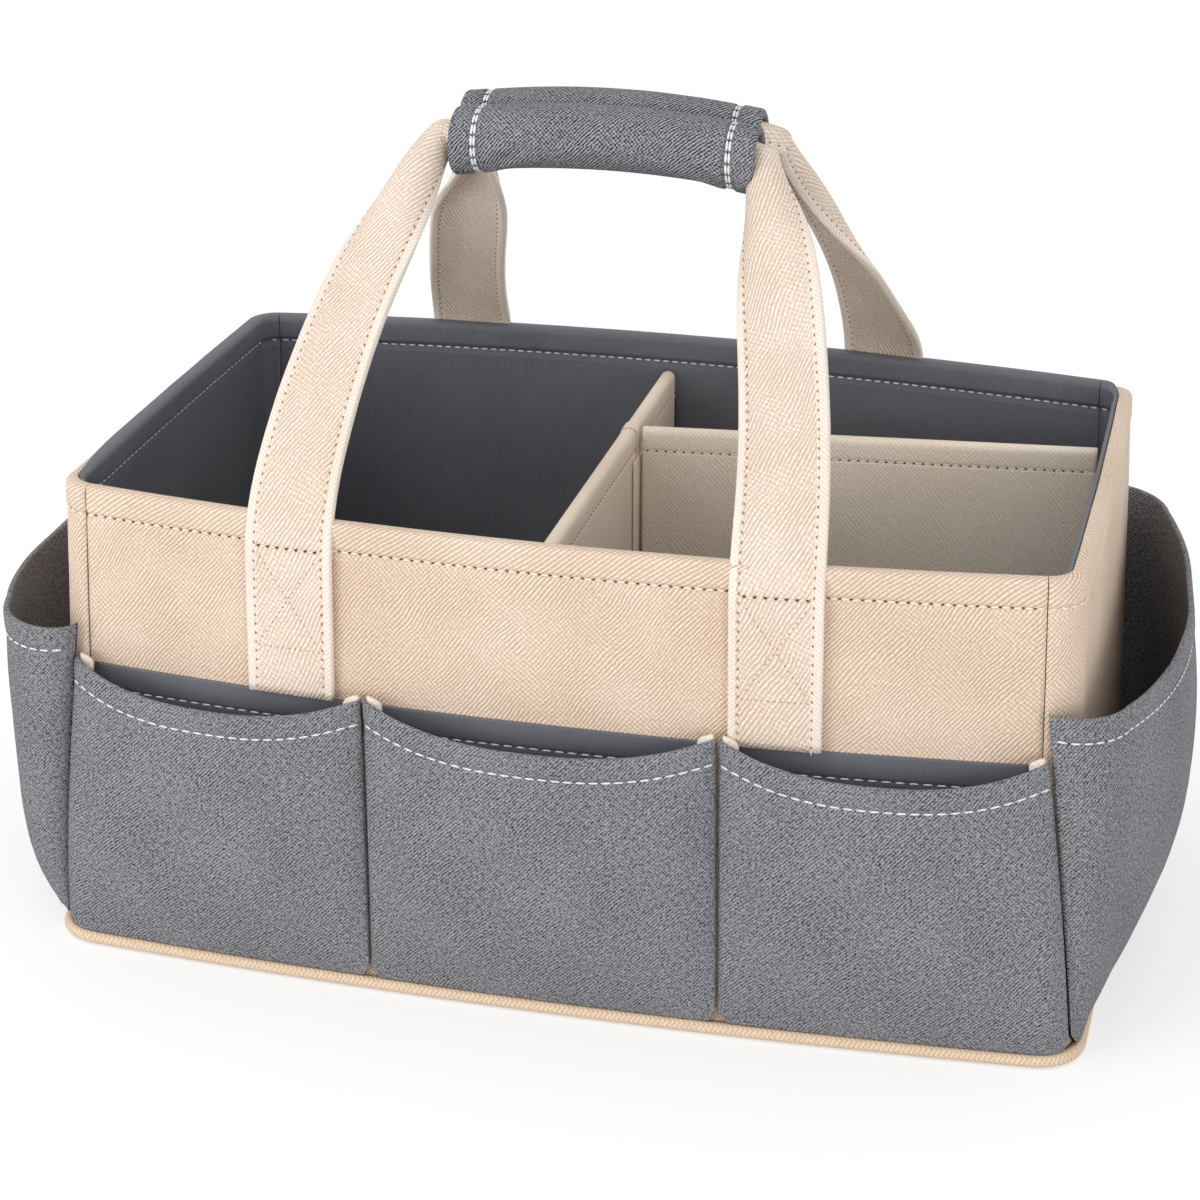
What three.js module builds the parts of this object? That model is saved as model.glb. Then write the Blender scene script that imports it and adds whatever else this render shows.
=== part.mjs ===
import * as THREE from 'three';

// An open, bowed box of padded walls with pockets, two strap handles and two dividers.
// Lengths are in millimetres, +Z is up, the long front wall faces -Y, and the floor is z = 0.

// Clearance between neighbouring layers
const gap = 0.3;

// Body, measured on the outside of the cover
const rimHalfLength = 185.4;
const rimHalfDepth = 104.6;
const wallHeight = 185.4;
const cornerRadius = 14;
const rimBow = 13.6;
const baseBow = 6.9;
const endBow = 0.8;
const sideFlare = 5.8;
const endFlare = 7.4;

// Layers of the wall, from outside to inside
const coverThickness = 1.4;
const boardThickness = 3.2;
const liningThickness = 1.2;

// Rim: the cover rolls over the board, the lining's folded hem meets it
const hemHeight = 10;
const hemPuff = 0.4;
const rollWidth = 5;
const rollHeight = 3;
const rollRadius = 2.2;
const liningHemPuff = 0.6;
const liningDrop = 0.6;

// Base
const basePanelThickness = 1.4;
const baseBoardThickness = 3;
const floorLiningThickness = 1.2;
const pipingRadius = 2.3;

// Pockets
const canvasThickness = 1.6;
const pocketHemPuff = 0.7;
const pocketHemHeight = 9;
const pocketSeamX = 62.8;
const pocketSeamGap = 1.2;
const pocketTurnTop = 2;
const pocketTurnFoot = 13;
const sidePocketCorner = 123;
const sidePocketDip = 10.5;
const sidePocketBulge = 10;
const endPocketCorner = 132;
const endPocketDip = 7;
const endPocketBulge = 30.5;
const pocketEdgeTop = 4.2;
const pocketEdgeFoot = 1.6;
const backingThickness = 0.9;
const backingTop = 117.5;
const gussetThickness = 1;
const gussetFoot = 12;
const gussetEar = 1.2;

// Handles
const handleShift = -4.4;
const strapCentreX = 86;
const strapWidth = 33;
const strapThickness = 3;
const strapHingeDrop = 15.4;
const foldedWidth = 16;
const foldedThickness = 6.2;
const gripHalfLength = 54;
const gripRise = 117.6;
const gripDroop = 3.5;
const gripRadius = 11.8;
const gripWall = 2.3;
const gripSpacing = 24.2;
const gripStitchInset = 9.5;
const gripStitchDepth = 0.5;

// Dividers
const dividerDrop = 13.4;
const dividerX = -6;
const dividerBoard = 3;
const dividerCover = 1.2;
const dividerEndClearance = 0.6;
const dividerJunctionY = 42;
const shortDividerTurn = THREE.MathUtils.degToRad(6.4);
const shortDividerFarClearance = 1;
const hookTapeThickness = 1;
const hookTapeMargin = 12;
const hingeTapeWidth = 20;
const hingeTapeThickness = 0.8;

// Places on the wall's closed plan: each side takes the first part of its unit, its corner the rest
const sidePart = 0.8;
const sideNames = ['front', 'right_end', 'back', 'left_end'];
const [FRONT, RIGHT, BACK, LEFT] = sideNames.keys();
const wholeTurn = sideNames.length;

// Sizes that follow from the ones above
const seamX = rimHalfLength - cornerRadius;
const coverFoot = basePanelThickness + gap;
const baseBoardFoot = basePanelThickness + gap;
const boardFoot = baseBoardFoot + baseBoardThickness + gap;
const liningFoot = boardFoot + floorLiningThickness + gap;
const boardOuter = -(coverThickness + gap);
const boardInner = boardOuter - boardThickness;
const liningOuter = boardInner - gap;
const liningInner = liningOuter - liningThickness;
const hemInner = liningInner - liningHemPuff;
const boardTop = wallHeight - rollHeight - gap;
const hemLine = wallHeight - hemHeight;
const pocketFoot = 2 * pipingRadius + 2 * gap;
const strapInner = hemPuff + gap;
const strapOuter = strapInner + strapThickness;
const strapHingeHeight = wallHeight - strapHingeDrop;
const gripHeight = wallHeight + gripRise;
const gripY = gripSpacing / 2;
const dividerTop = wallHeight - dividerDrop;
const dividerHalfThickness = dividerBoard / 2 + gap + dividerCover;

const materials = {
  leatherette: { color: 0xe3cfb2, roughness: 0.62, metalness: 0 },
  strapLeatherette: { color: 0xe6d2b6, roughness: 0.6, metalness: 0 },
  canvas: { color: 0x7b7f87, roughness: 0.85, metalness: 0 },
  lining: { color: 0x53565e, roughness: 0.9, metalness: 0 },
  piping: { color: 0xd9c09c, roughness: 0.65, metalness: 0 },
  board: { color: 0xb9a88c, roughness: 0.9, metalness: 0 },
  tape: { color: 0x3c3e44, roughness: 0.95, metalness: 0 },
};

const caddy = new THREE.Group();

function addPiece(parent, name, geometry, materialName) {
  geometry.computeVertexNormals();
  const mesh = new THREE.Mesh(geometry, new THREE.MeshStandardMaterial(materials[materialName]));
  mesh.name = name;
  parent.add(mesh);
  return mesh;
}

// A plan has two bowed sides, two nearly straight ends and four round corners. Its arcs run
// through the corners' centres, so every offset of the plan is parallel to it.
function makePlan(halfLength, halfDepth, sideBow) {
  const halfX = halfLength - cornerRadius;
  const halfY = halfDepth - cornerRadius;
  return { halfX, halfY, side: bowedArc(halfX, sideBow), end: bowedArc(halfY, endBow) };
}

function bowedArc(halfChord, bow) {
  const radius = (halfChord * halfChord + bow * bow) / (2 * bow);
  return { radius, halfAngle: Math.asin(halfChord / radius), depth: radius - bow };
}

const rimPlan = makePlan(rimHalfLength, rimHalfDepth, rimBow);
const basePlan = makePlan(rimHalfLength + endFlare, rimHalfDepth + sideFlare, baseBow);

// The corner centre or arc point, and the outward normal, at unit place u of a plan
function planPlace(plan, u) {
  const turn = ((u % wholeTurn) + wholeTurn) % wholeTurn;
  const quarter = Math.floor(turn);
  const share = turn - quarter;
  const along = quarter % 2 === 0;
  const arc = along ? plan.side : plan.end;
  const halfLong = along ? plan.halfX : plan.halfY;
  const halfDeep = along ? plan.halfY : plan.halfX;
  const centre = new THREE.Vector2(halfLong, -halfDeep);
  const normal = new THREE.Vector2();
  if (share <= sidePart) {
    const angle = arc.halfAngle * ((2 * share) / sidePart - 1);
    normal.set(Math.sin(angle), -Math.cos(angle));
    centre.set(arc.radius * normal.x, arc.depth - halfDeep + arc.radius * normal.y);
  } else {
    const next = along ? plan.end : plan.side;
    const cornerShare = (share - sidePart) / (1 - sidePart);
    const angle = THREE.MathUtils.lerp(arc.halfAngle, Math.PI / 2 - next.halfAngle, cornerShare);
    normal.set(Math.sin(angle), -Math.cos(angle));
  }
  const middle = new THREE.Vector2();
  const quarterTurn = (quarter * Math.PI) / 2;
  return {
    centre: centre.rotateAround(middle, quarterTurn),
    normal: normal.rotateAround(middle, quarterTurn),
  };
}

// Where unit place u lies at height z, offset outwards from the cover's outer face. The wall is
// ruled: at each place it runs straight from the base plan to the rim plan.
function wallPlace(u, z, offset) {
  const rise = z / wallHeight;
  const base = planPlace(basePlan, u);
  const rim = planPlace(rimPlan, u);
  const normal = base.normal.lerp(rim.normal, rise);
  const centre = base.centre.lerp(rim.centre, rise).addScaledVector(normal, cornerRadius + offset);
  return {
    point: new THREE.Vector3(centre.x, centre.y, z),
    normal: new THREE.Vector3(normal.x, normal.y, 0).normalize(),
  };
}

function wallPoint(u, z, offset) {
  return wallPlace(u, z, offset).point;
}

const cornerLength = (cornerRadius * Math.PI) / 2;
const sideUnitPerLength = sidePart / (2 * seamX);
const cornerUnitPerLength = (1 - sidePart) / cornerLength;

// The unit place at a length along a side from its middle, measured at the rim. A length beyond
// the side's end goes on round its corner.
function unitAlong(side, length) {
  const half = side % 2 === 0 ? rimPlan.halfX : rimPlan.halfY;
  const straight = THREE.MathUtils.clamp(length, -half, half);
  return side + (sidePart / 2) * (1 + straight / half) + (length - straight) * cornerUnitPerLength;
}

// The same for a place on the front or the back, given by its x at the rim
function sideUnit(side, x) {
  return unitAlong(side, side === FRONT ? x : -x);
}

// The places between two ends, on one grid for every layer, so that their facets stay parallel
const sideSteps = 10;
const cornerSteps = 4;

function unitsBetween(first, last) {
  const grid = [];
  for (let quarter = Math.floor(first); quarter < last; quarter += 1) {
    for (let i = 0; i < sideSteps; i += 1) {
      grid.push(quarter + (sidePart * i) / sideSteps);
    }
    for (let i = 0; i < cornerSteps; i += 1) {
      grid.push(quarter + sidePart + ((1 - sidePart) * i) / cornerSteps);
    }
  }
  const nearEndShare = 0.1;
  const nearEnd = (nearEndShare * sidePart) / sideSteps;
  const inner = grid.filter((u) => u > first + nearEnd && u < last - nearEnd);
  return [first, ...inner, last];
}

// A closed body from a row of closed sections with equally many points. A ring joins its last
// section to its first, and any other body gets a flat cap at both ends. All diagonals of its
// four-sided faces climb the same way, so that the facets of layers side by side stay parallel.
function loft(sections, isRing = false) {
  const count = sections[0].length;
  const positions = sections.flat().flatMap((point) => [point.x, point.y, point.z]);
  const indices = [];
  const rows = isRing ? sections.length : sections.length - 1;
  for (let row = 0; row < rows; row += 1) {
    const next = (row + 1) % sections.length;
    for (let i = 0; i < count; i += 1) {
      const j = (i + 1) % count;
      const [a, b, c, d] = [row * count + i, row * count + j, next * count + j, next * count + i];
      if (sections[row][j].z > sections[row][i].z) {
        indices.push(a, b, c, a, c, d);
      } else {
        indices.push(a, b, d, b, c, d);
      }
    }
  }
  if (!isRing) {
    const lastRow = (sections.length - 1) * count;
    THREE.ShapeUtils.triangulateShape(flatten(sections[0]), []).forEach(([a, b, c]) => {
      indices.push(c, b, a);
      indices.push(a + lastRow, b + lastRow, c + lastRow);
    });
  }
  const geometry = new THREE.BufferGeometry();
  geometry.setAttribute('position', new THREE.Float32BufferAttribute(positions, 3));
  geometry.setIndex(indices);
  return facingOut(geometry);
}

// The section's points in its own plane, for its caps
function flatten(section) {
  const normal = new THREE.Vector3();
  section.forEach((point, i) => {
    const next = section[(i + 1) % section.length];
    normal.add(new THREE.Vector3().crossVectors(point, next));
  });
  normal.normalize();
  const across = new THREE.Vector3().subVectors(section[1], section[0]).normalize();
  const up = new THREE.Vector3().crossVectors(normal, across);
  return section.map((point) => new THREE.Vector2(point.dot(across), point.dot(up)));
}

// Turns a closed body inside out if its signed volume says that its faces point inwards
function facingOut(geometry) {
  const position = geometry.getAttribute('position');
  const index = geometry.getIndex();
  const corners = [new THREE.Vector3(), new THREE.Vector3(), new THREE.Vector3()];
  let volume = 0;
  for (let i = 0; i < index.count; i += 3) {
    corners.forEach((corner, k) => corner.fromBufferAttribute(position, index.getX(i + k)));
    volume += corners[0].dot(corners[1].clone().cross(corners[2]));
  }
  if (volume < 0) {
    const flipped = Array.from(index.array);
    for (let i = 0; i < flipped.length; i += 3) {
      [flipped[i + 1], flipped[i + 2]] = [flipped[i + 2], flipped[i + 1]];
    }
    geometry.setIndex(flipped);
  }
  return geometry;
}

// A body that follows the wall: its profile is a closed list of [offset, height] at each place
function alongWall(units, profileAt, isRing = false) {
  const sections = units.map((u) => profileAt(u).map(([offset, z]) => wallPoint(u, z, offset)));
  return loft(sections, isRing);
}

// The walls twist as they flare, so every layer has a row of points at these heights
const wallLevels = [backingTop / 2, backingTop];

function slabAlongWall(units, inner, outer, foot, top) {
  const heights = [foot, ...wallLevels.filter((z) => z > foot && z < top), top];
  const outside = heights.map((z) => [outer, z]);
  const inside = heights.map((z) => [inner, z]).reverse();
  return alongWall(units, () => [...outside, ...inside]);
}

// A flat plate whose edge follows the plan at the given offset
function plate(offset, foot, thickness) {
  const units = unitsBetween(0, wholeTurn).slice(0, -1);
  const outline = units.map((u) => {
    const point = wallPoint(u, foot, offset);
    return new THREE.Vector2(point.x, point.y);
  });
  const geometry = new THREE.ExtrudeGeometry(new THREE.Shape(outline), {
    depth: thickness,
    bevelEnabled: false,
  });
  geometry.translate(0, 0, foot);
  return geometry;
}

// Wall covers, boards and linings
const coverProfile = [
  [0, coverFoot],
  ...wallLevels.map((z) => [0, z]),
  [0, hemLine],
  [hemPuff, hemLine + hemHeight / 4],
  [hemPuff, wallHeight - rollRadius],
  [-rollRadius / 4, wallHeight - rollRadius / 4],
  [-rollRadius, wallHeight],
  [-rollWidth + rollRadius / 3, wallHeight],
  [-rollWidth, wallHeight - rollRadius / 2],
  [-rollWidth, wallHeight - rollHeight],
  [-coverThickness, wallHeight - rollHeight],
  ...wallLevels.map((z) => [-coverThickness, z]).reverse(),
  [-coverThickness, coverFoot],
];

const liningTop = wallHeight - liningDrop;
const liningProfile = [
  [liningInner, liningFoot],
  ...wallLevels.map((z) => [liningInner, z]),
  [liningInner, hemLine],
  [hemInner, hemLine + hemHeight / 4],
  [hemInner, liningTop - rollRadius / 2],
  [hemInner + rollRadius / 3, liningTop],
  [-rollWidth - gap, liningTop],
  [-rollWidth - gap, hemLine],
  [liningOuter, hemLine - rollRadius],
  ...wallLevels.map((z) => [liningOuter, z]).reverse(),
  [liningOuter, liningFoot],
];

const seamUnit = (gap / 2) * sideUnitPerLength;
const cornerSeamUnit = (gap / 2) * cornerUnitPerLength;
const boardEndUnit = (cornerRadius / 2) * sideUnitPerLength;
const walls = [
  { name: 'front', from: FRONT + seamUnit, to: FRONT + sidePart - seamUnit },
  { name: 'right_end', from: FRONT + sidePart + cornerSeamUnit, to: BACK - cornerSeamUnit },
  { name: 'back', from: BACK + seamUnit, to: BACK + sidePart - seamUnit },
  { name: 'left_end', from: BACK + sidePart + cornerSeamUnit, to: wholeTurn - cornerSeamUnit },
];

walls.forEach(({ name, from, to }) => {
  const units = unitsBetween(from, to);
  addPiece(caddy, `${name}_cover`, alongWall(units, () => coverProfile), 'leatherette');
  addPiece(caddy, `${name}_lining`, alongWall(units, () => liningProfile), 'lining');
});

sideNames.forEach((name, side) => {
  const units = unitsBetween(side + boardEndUnit, side + sidePart - boardEndUnit);
  const geometry = slabAlongWall(units, boardInner, boardOuter, boardFoot, boardTop);
  addPiece(caddy, `${name}_board`, geometry, 'board');
});

// Base
addPiece(caddy, 'base_panel', plate(0, 0, basePanelThickness), 'leatherette');
addPiece(caddy, 'base_board', plate(boardOuter, baseBoardFoot, baseBoardThickness), 'board');
addPiece(caddy, 'floor_lining', plate(liningOuter, boardFoot, floorLiningThickness), 'lining');

function pipingProfile() {
  const sides = 8;
  const centreOffset = gap + pipingRadius;
  return Array.from({ length: sides }, (_, i) => {
    const angle = ((i + 1 / 2) * 2 * Math.PI) / sides;
    const radius = pipingRadius;
    return [centreOffset + radius * Math.cos(angle), centreOffset + radius * Math.sin(angle)];
  });
}

const loopUnits = unitsBetween(0, wholeTurn).slice(0, -1);
addPiece(caddy, 'base_piping', alongWall(loopUnits, pipingProfile, true), 'piping');

// Pockets. How full the canvas stands at share s along it and at share h of its height
const sideFullness = { powerShare: 2.8, rootShare: 0.62 };
const endFullness = { powerShare: 2.2, rootShare: 0.85 };
const endPullShare = 0.22;
const bellyPowerShare = 4;
const lipPowerShare = 2.4;

function standingOut({ powerShare, rootShare }, s) {
  return Math.pow(Math.max(0, 1 - Math.pow(Math.abs(2 * s - 1), powerShare)), rootShare);
}

function belly(h) {
  return 1 - Math.pow(1 - h, bellyPowerShare);
}

function lipHeight(pocket, s) {
  return pocket.corner - pocket.dip * (1 - Math.pow(Math.abs(2 * s - 1), lipPowerShare));
}

function pocketEdge(z, corner) {
  return THREE.MathUtils.mapLinear(z, pocketFoot, corner, pocketEdgeFoot, pocketEdgeTop);
}

function pocketInner(pocket, s, z) {
  const h = (z - pocketFoot) / (lipHeight(pocket, s) - pocketFoot);
  const pull = 1 - pocket.pullShare * Math.pow(h, 3);
  return pocketEdge(z, pocket.corner) + pocket.bulge * standingOut(pocket.fullness, s) * belly(h) * pull;
}

const outerHeightShares = [0, 0.07, 0.2, 0.42, 0.72];
const innerHeightShares = [0.72, 0.42, 0.2, 0.07, 0];

function pocketProfile(pocket, s) {
  const top = lipHeight(pocket, s);
  const hem = top - pocketHemHeight;
  const at = (share) => pocketFoot + share * (hem - pocketFoot);
  const inner = (z) => pocketInner(pocket, s, z);
  const outer = outerHeightShares.map((share) => [inner(at(share)) + canvasThickness, at(share)]);
  const lipOuter = inner(top) + canvasThickness + pocketHemPuff;
  const edge = canvasThickness / 2;
  const lip = [
    [inner(hem) + canvasThickness, hem],
    [lipOuter, top - edge],
    [lipOuter - edge, top],
    [inner(top) + edge / 2, top],
    [inner(top), top - edge],
  ];
  const back = innerHeightShares.map((share) => [inner(at(share)), at(share)]);
  return [...outer, ...lip, ...back];
}

// How far round the corner the side pockets reach at height z: they widen towards the base
function cornerTurn(z) {
  return THREE.MathUtils.mapLinear(z, pocketFoot, sidePocketCorner, pocketTurnFoot, pocketTurnTop);
}

// The lengths along the pocket's side, at height z, where it starts and ends
function pocketEnds(pocket, z) {
  const turn = cornerTurn(z);
  return [pocket.start + turn * pocket.startTurn, pocket.end + turn * pocket.endTurn];
}

function addPocket(pocket) {
  const sections = pocket.shares.map((s) => pocketProfile(pocket, s).map(([offset, z]) => {
    const [start, end] = pocketEnds(pocket, z);
    return wallPoint(unitAlong(pocket.side, THREE.MathUtils.lerp(start, end, s)), z, offset);
  }));
  addPiece(caddy, pocket.name, loft(sections), 'canvas');
}

// A gusset stands on edge between the wall and one of the pocket's side edges
function addGusset(name, pocket, which, direction) {
  const heightShares = [0, 0.25, 0.5, 0.75, 1];
  const top = pocket.corner + gussetEar;
  const sections = [0, direction * gussetThickness].map((inward) => {
    const heights = heightShares.map((share) => THREE.MathUtils.lerp(gussetFoot, top, share));
    const place = (z, offset) => {
      return wallPoint(unitAlong(pocket.side, pocketEnds(pocket, z)[which] + inward), z, offset);
    };
    const reach = (z) => pocketEdge(Math.min(z, pocket.corner), pocket.corner) - gap;
    const outer = heights.map((z) => place(z, reach(z)));
    const inner = heights.map((z) => place(z, gap)).reverse();
    return [...outer, ...inner];
  });
  addPiece(caddy, name, loft(sections), 'leatherette');
}

const halfSeam = pocketSeamGap / 2;
const sideSpans = [
  { start: -seamX, end: -pocketSeamX, startTurn: -1, endTurn: 0 },
  { start: -pocketSeamX, end: pocketSeamX, startTurn: 0, endTurn: 0 },
  { start: pocketSeamX, end: seamX, startTurn: 0, endTurn: 1 },
];

// Shares of a pocket's length, closer together near its edges, where the canvas turns
const sideHalfShares = [0, 0.025, 0.05, 0.09, 0.14, 0.2, 0.35, 0.5];
const endHalfShares = [0, 0.02, 0.04, 0.07, 0.1, 0.14, 0.22, 0.32, 0.43, 0.5];

function mirroredShares(halfShares) {
  const others = halfShares.slice(0, -1).map((share) => 1 - share);
  return [...halfShares, ...others.reverse()];
}

[{ side: FRONT, name: 'front', places: ['left', 'middle', 'right'] },
  { side: BACK, name: 'back', places: ['right', 'middle', 'left'] }].forEach(({ side, name, places }) => {
  sideSpans.forEach(({ start, end, startTurn, endTurn }, i) => {
    const pocket = {
      name: `${name}_pocket_${places[i]}`,
      side,
      start: start + halfSeam,
      end: end - halfSeam,
      startTurn,
      endTurn,
      shares: mirroredShares(sideHalfShares),
      corner: sidePocketCorner,
      dip: sidePocketDip,
      bulge: sidePocketBulge,
      fullness: sideFullness,
      pullShare: 0,
    };
    addPocket(pocket);
    const backingFrom = unitAlong(side, pocket.start + 2 * gussetThickness);
    const backingTo = unitAlong(side, pocket.end - 2 * gussetThickness);
    const backingUnits = unitsBetween(backingFrom, backingTo);
    const backing = slabAlongWall(backingUnits, gap, gap + backingThickness, pocketFoot, backingTop);
    addPiece(caddy, `${name}_backing_${places[i]}`, backing, 'lining');
    addGusset(`${name}_gusset_${places[i]}_a`, pocket, 0, 1);
    addGusset(`${name}_gusset_${places[i]}_b`, pocket, 1, -1);
  });
});

// The left end's pocket is the looser one, and stands full right up to its edges
const endReach = rimPlan.halfY + cornerLength - halfSeam;
[
  { name: 'right_end_pocket', side: RIGHT, fullness: endFullness, pullShare: endPullShare },
  { name: 'left_end_pocket', side: LEFT, fullness: sideFullness, pullShare: endPullShare / 2 },
].forEach(({ name, side, fullness, pullShare }) => {
  addPocket({
    name,
    side,
    start: -endReach,
    end: endReach,
    startTurn: 1,
    endTurn: -1,
    shares: mirroredShares(endHalfShares),
    corner: endPocketCorner,
    dip: endPocketDip,
    bulge: endPocketBulge,
    fullness,
    pullShare,
  });
});

// Handle patches: the sewn feet of the straps, from the backing's top to the swing line
const strapHalfUnit = (strapWidth / 2) * sideUnitPerLength;
const patchFoot = backingTop + gap;
const patchTop = strapHingeHeight - gap / 2;
[{ name: 'front', side: FRONT }, { name: 'back', side: BACK }].forEach(({ name, side }) => {
  [{ place: 'left', direction: -1 }, { place: 'right', direction: 1 }].forEach(({ place, direction }) => {
    const unit = sideUnit(side, handleShift + direction * strapCentreX);
    const units = [-1, -1 / 3, 1 / 3, 1].map((share) => unit + share * strapHalfUnit);
    const geometry = slabAlongWall(units, gap, strapOuter, patchFoot, patchTop);
    addPiece(caddy, `${name}_strap_patch_${place}`, geometry, 'strapLeatherette');
  });
});

// Half of the front strap, on the side that direction gives: up the wall, over the rim, then
// leaning in to the grip. Each frame has the strap's middle, its direction across, its outer
// normal and its size there.
const foldStartShare = 0.45;
const foldEndShare = 0.8;
const leanRiseShare = 0.4;
const shoulderRiseShare = 0.99;
const shoulderXShare = 0.2;
const mouthClearance = 5;

function gripArch(x) {
  return gripHeight - gripDroop * ((x - handleShift) / gripHalfLength) ** 2;
}

function strapHalfFrames(direction) {
  const unit = sideUnit(FRONT, handleShift + direction * strapCentreX);
  const middle = (strapInner + strapOuter) / 2;
  const stubFoot = strapHingeHeight + gap / 2;
  const stubTop = wallHeight - rollRadius;
  const flat = { width: strapWidth, thickness: strapThickness };
  const stub = [stubFoot, (stubFoot + stubTop) / 2, stubTop].map((z) => {
    const { point, normal } = wallPlace(unit, z, middle);
    const across = new THREE.Vector3(-normal.y, normal.x, 0).multiplyScalar(direction);
    return { centre: point, across, normal, ...flat };
  });
  const rim = wallPlace(unit, wallHeight, middle).point;
  const mouthX = handleShift + direction * (gripHalfLength + mouthClearance);
  const mouth = new THREE.Vector3(mouthX, -gripY, gripArch(mouthX));
  const lean = new THREE.Vector3(0, mouth.y - rim.y, mouth.z - rim.z);
  const place = (x, riseShare) => new THREE.Vector3(x, rim.y, rim.z).addScaledVector(lean, riseShare);
  const shoulderX = THREE.MathUtils.lerp(mouthX, rim.x, shoulderXShare);
  const curve = new THREE.CubicBezierCurve3(
    place(rim.x, 0),
    place(rim.x, leanRiseShare),
    place(shoulderX, shoulderRiseShare),
    place(mouthX, 1),
  );
  const leanNormal = new THREE.Vector3(0, -lean.z, lean.y).normalize();
  const curveShares = [0.06, 0.14, 0.26, 0.4, 0.54, 0.66, 0.77, 0.88, 1];
  const turnedShare = 0.25;
  const leaning = curveShares.map((share) => {
    const tangent = curve.getTangent(share);
    const turned = Math.min(1, share / turnedShare);
    const facing = new THREE.Vector3().lerpVectors(stub[0].normal, leanNormal, turned);
    const across = new THREE.Vector3().crossVectors(tangent, facing).setLength(direction);
    const fold = THREE.MathUtils.smoothstep(share, foldStartShare, foldEndShare);
    return {
      centre: curve.getPoint(share),
      across,
      normal: new THREE.Vector3().crossVectors(across, tangent).setLength(direction),
      width: THREE.MathUtils.lerp(strapWidth, foldedWidth, fold),
      thickness: THREE.MathUtils.lerp(strapThickness, foldedThickness, fold),
    };
  });
  const folded = { width: foldedWidth, thickness: foldedThickness };
  const insideShares = [0.94, 0.6, 0.2];
  const inside = insideShares.map((share) => {
    const x = handleShift + direction * share * gripHalfLength;
    const centre = new THREE.Vector3(x, -gripY, gripArch(x));
    return { centre, across: lean.clone().normalize(), normal: leanNormal, ...folded };
  });
  return [...stub, ...leaning, ...inside];
}

function strapSection({ centre, across, normal, width, thickness }) {
  const halfWidth = width / 2;
  const halfThickness = thickness / 2;
  const chamfer = halfThickness / 2;
  const corners = [
    [halfWidth - chamfer, -halfThickness],
    [halfWidth, -halfThickness + chamfer],
    [halfWidth, halfThickness - chamfer],
    [halfWidth - chamfer, halfThickness],
  ];
  const ring = [...corners, ...corners.map(([a, b]) => [-a, -b])];
  return ring.map(([a, b]) => centre.clone().addScaledVector(across, a).addScaledVector(normal, b));
}

function handleStrap() {
  return [...strapHalfFrames(1), ...strapHalfFrames(-1).reverse()].map(strapSection);
}

// The grip is a padded sleeve with a bore, arched along its length and drawn in at its stitches
function gripSleeve() {
  const stitch = gripHalfLength - gripStitchInset;
  const grooveHalf = gripWall / 2;
  const bore = gripRadius - gripWall;
  const edge = gripWall / 3;
  const outerHalf = [
    [0, gripRadius],
    [stitch / 2, gripRadius],
    [stitch - grooveHalf, gripRadius],
    [stitch, gripRadius - gripStitchDepth],
    [stitch + grooveHalf, gripRadius],
    [gripHalfLength - edge, gripRadius],
    [gripHalfLength, gripRadius - edge],
    [gripHalfLength, bore],
    [stitch / 2, bore],
    [0, bore],
  ];
  const other = outerHalf.slice(1, -1).map(([x, radius]) => [-x, radius]);
  const profile = [...outerHalf, ...other.reverse()].map(([x, radius]) => [handleShift + x, radius]);
  const sides = 16;
  const sections = Array.from({ length: sides }, (_, i) => {
    const angle = (i * 2 * Math.PI) / sides;
    return profile.map(([x, radius]) => new THREE.Vector3(
      x,
      -gripY + radius * Math.cos(angle),
      gripArch(x) + radius * Math.sin(angle),
    ));
  });
  return sections;
}

// The back handle is the mirror image of the front one
function mirrorY(sections) {
  return sections.map((section) => section.map(({ x, y, z }) => new THREE.Vector3(x, -y, z)));
}

addPiece(caddy, 'front_handle_strap', loft(handleStrap()), 'strapLeatherette');
addPiece(caddy, 'front_handle_grip', loft(gripSleeve(), true), 'canvas');
addPiece(caddy, 'back_handle_strap', loft(mirrorY(handleStrap())), 'strapLeatherette');
addPiece(caddy, 'back_handle_grip', loft(mirrorY(gripSleeve()), true), 'canvas');

// Dividers. Each is a cover folded over a board, open underneath, in its own frame: length along
// +X from its start, thickness along Y.
const dividerFoot = liningFoot;

function foldedCover(start, end) {
  const half = dividerHalfThickness;
  const inside = half - dividerCover;
  const archSteps = 6;
  const arch = Array.from({ length: archSteps + 1 }, (_, i) => {
    const angle = (i * Math.PI) / archSteps;
    return [-half * Math.cos(angle), dividerTop - half + half * Math.sin(angle)];
  });
  const roof = dividerTop - half;
  const profile = [[-half, dividerFoot], ...arch, [half, dividerFoot]];
  const slot = [[inside, dividerFoot], [inside, roof], [-inside, roof], [-inside, dividerFoot]];
  const section = (x) => [...profile, ...slot].map(([y, z]) => new THREE.Vector3(x, y, z));
  return loft([section(start), section(end)]);
}

function upright(start, end, y, thickness, foot, top) {
  const geometry = new THREE.BoxGeometry(end - start, thickness, top - foot);
  geometry.translate((start + end) / 2, y, (foot + top) / 2);
  return geometry;
}

function addDivider(parent, name, start, end) {
  const boardRoof = dividerTop - dividerHalfThickness - gap;
  const inset = dividerCover;
  addPiece(parent, `${name}_cover`, foldedCover(start, end), 'leatherette');
  const core = upright(start + inset, end - inset, 0, dividerBoard, dividerFoot + gap, boardRoof);
  addPiece(parent, `${name}_board`, core, 'board');
}

function addHookTape(parent, name, start) {
  const foot = dividerFoot + hookTapeMargin;
  const top = dividerTop - hookTapeMargin;
  const width = 2 * dividerHalfThickness;
  addPiece(parent, name, upright(start, start + hookTapeThickness, 0, width, foot, top), 'tape');
}

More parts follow.
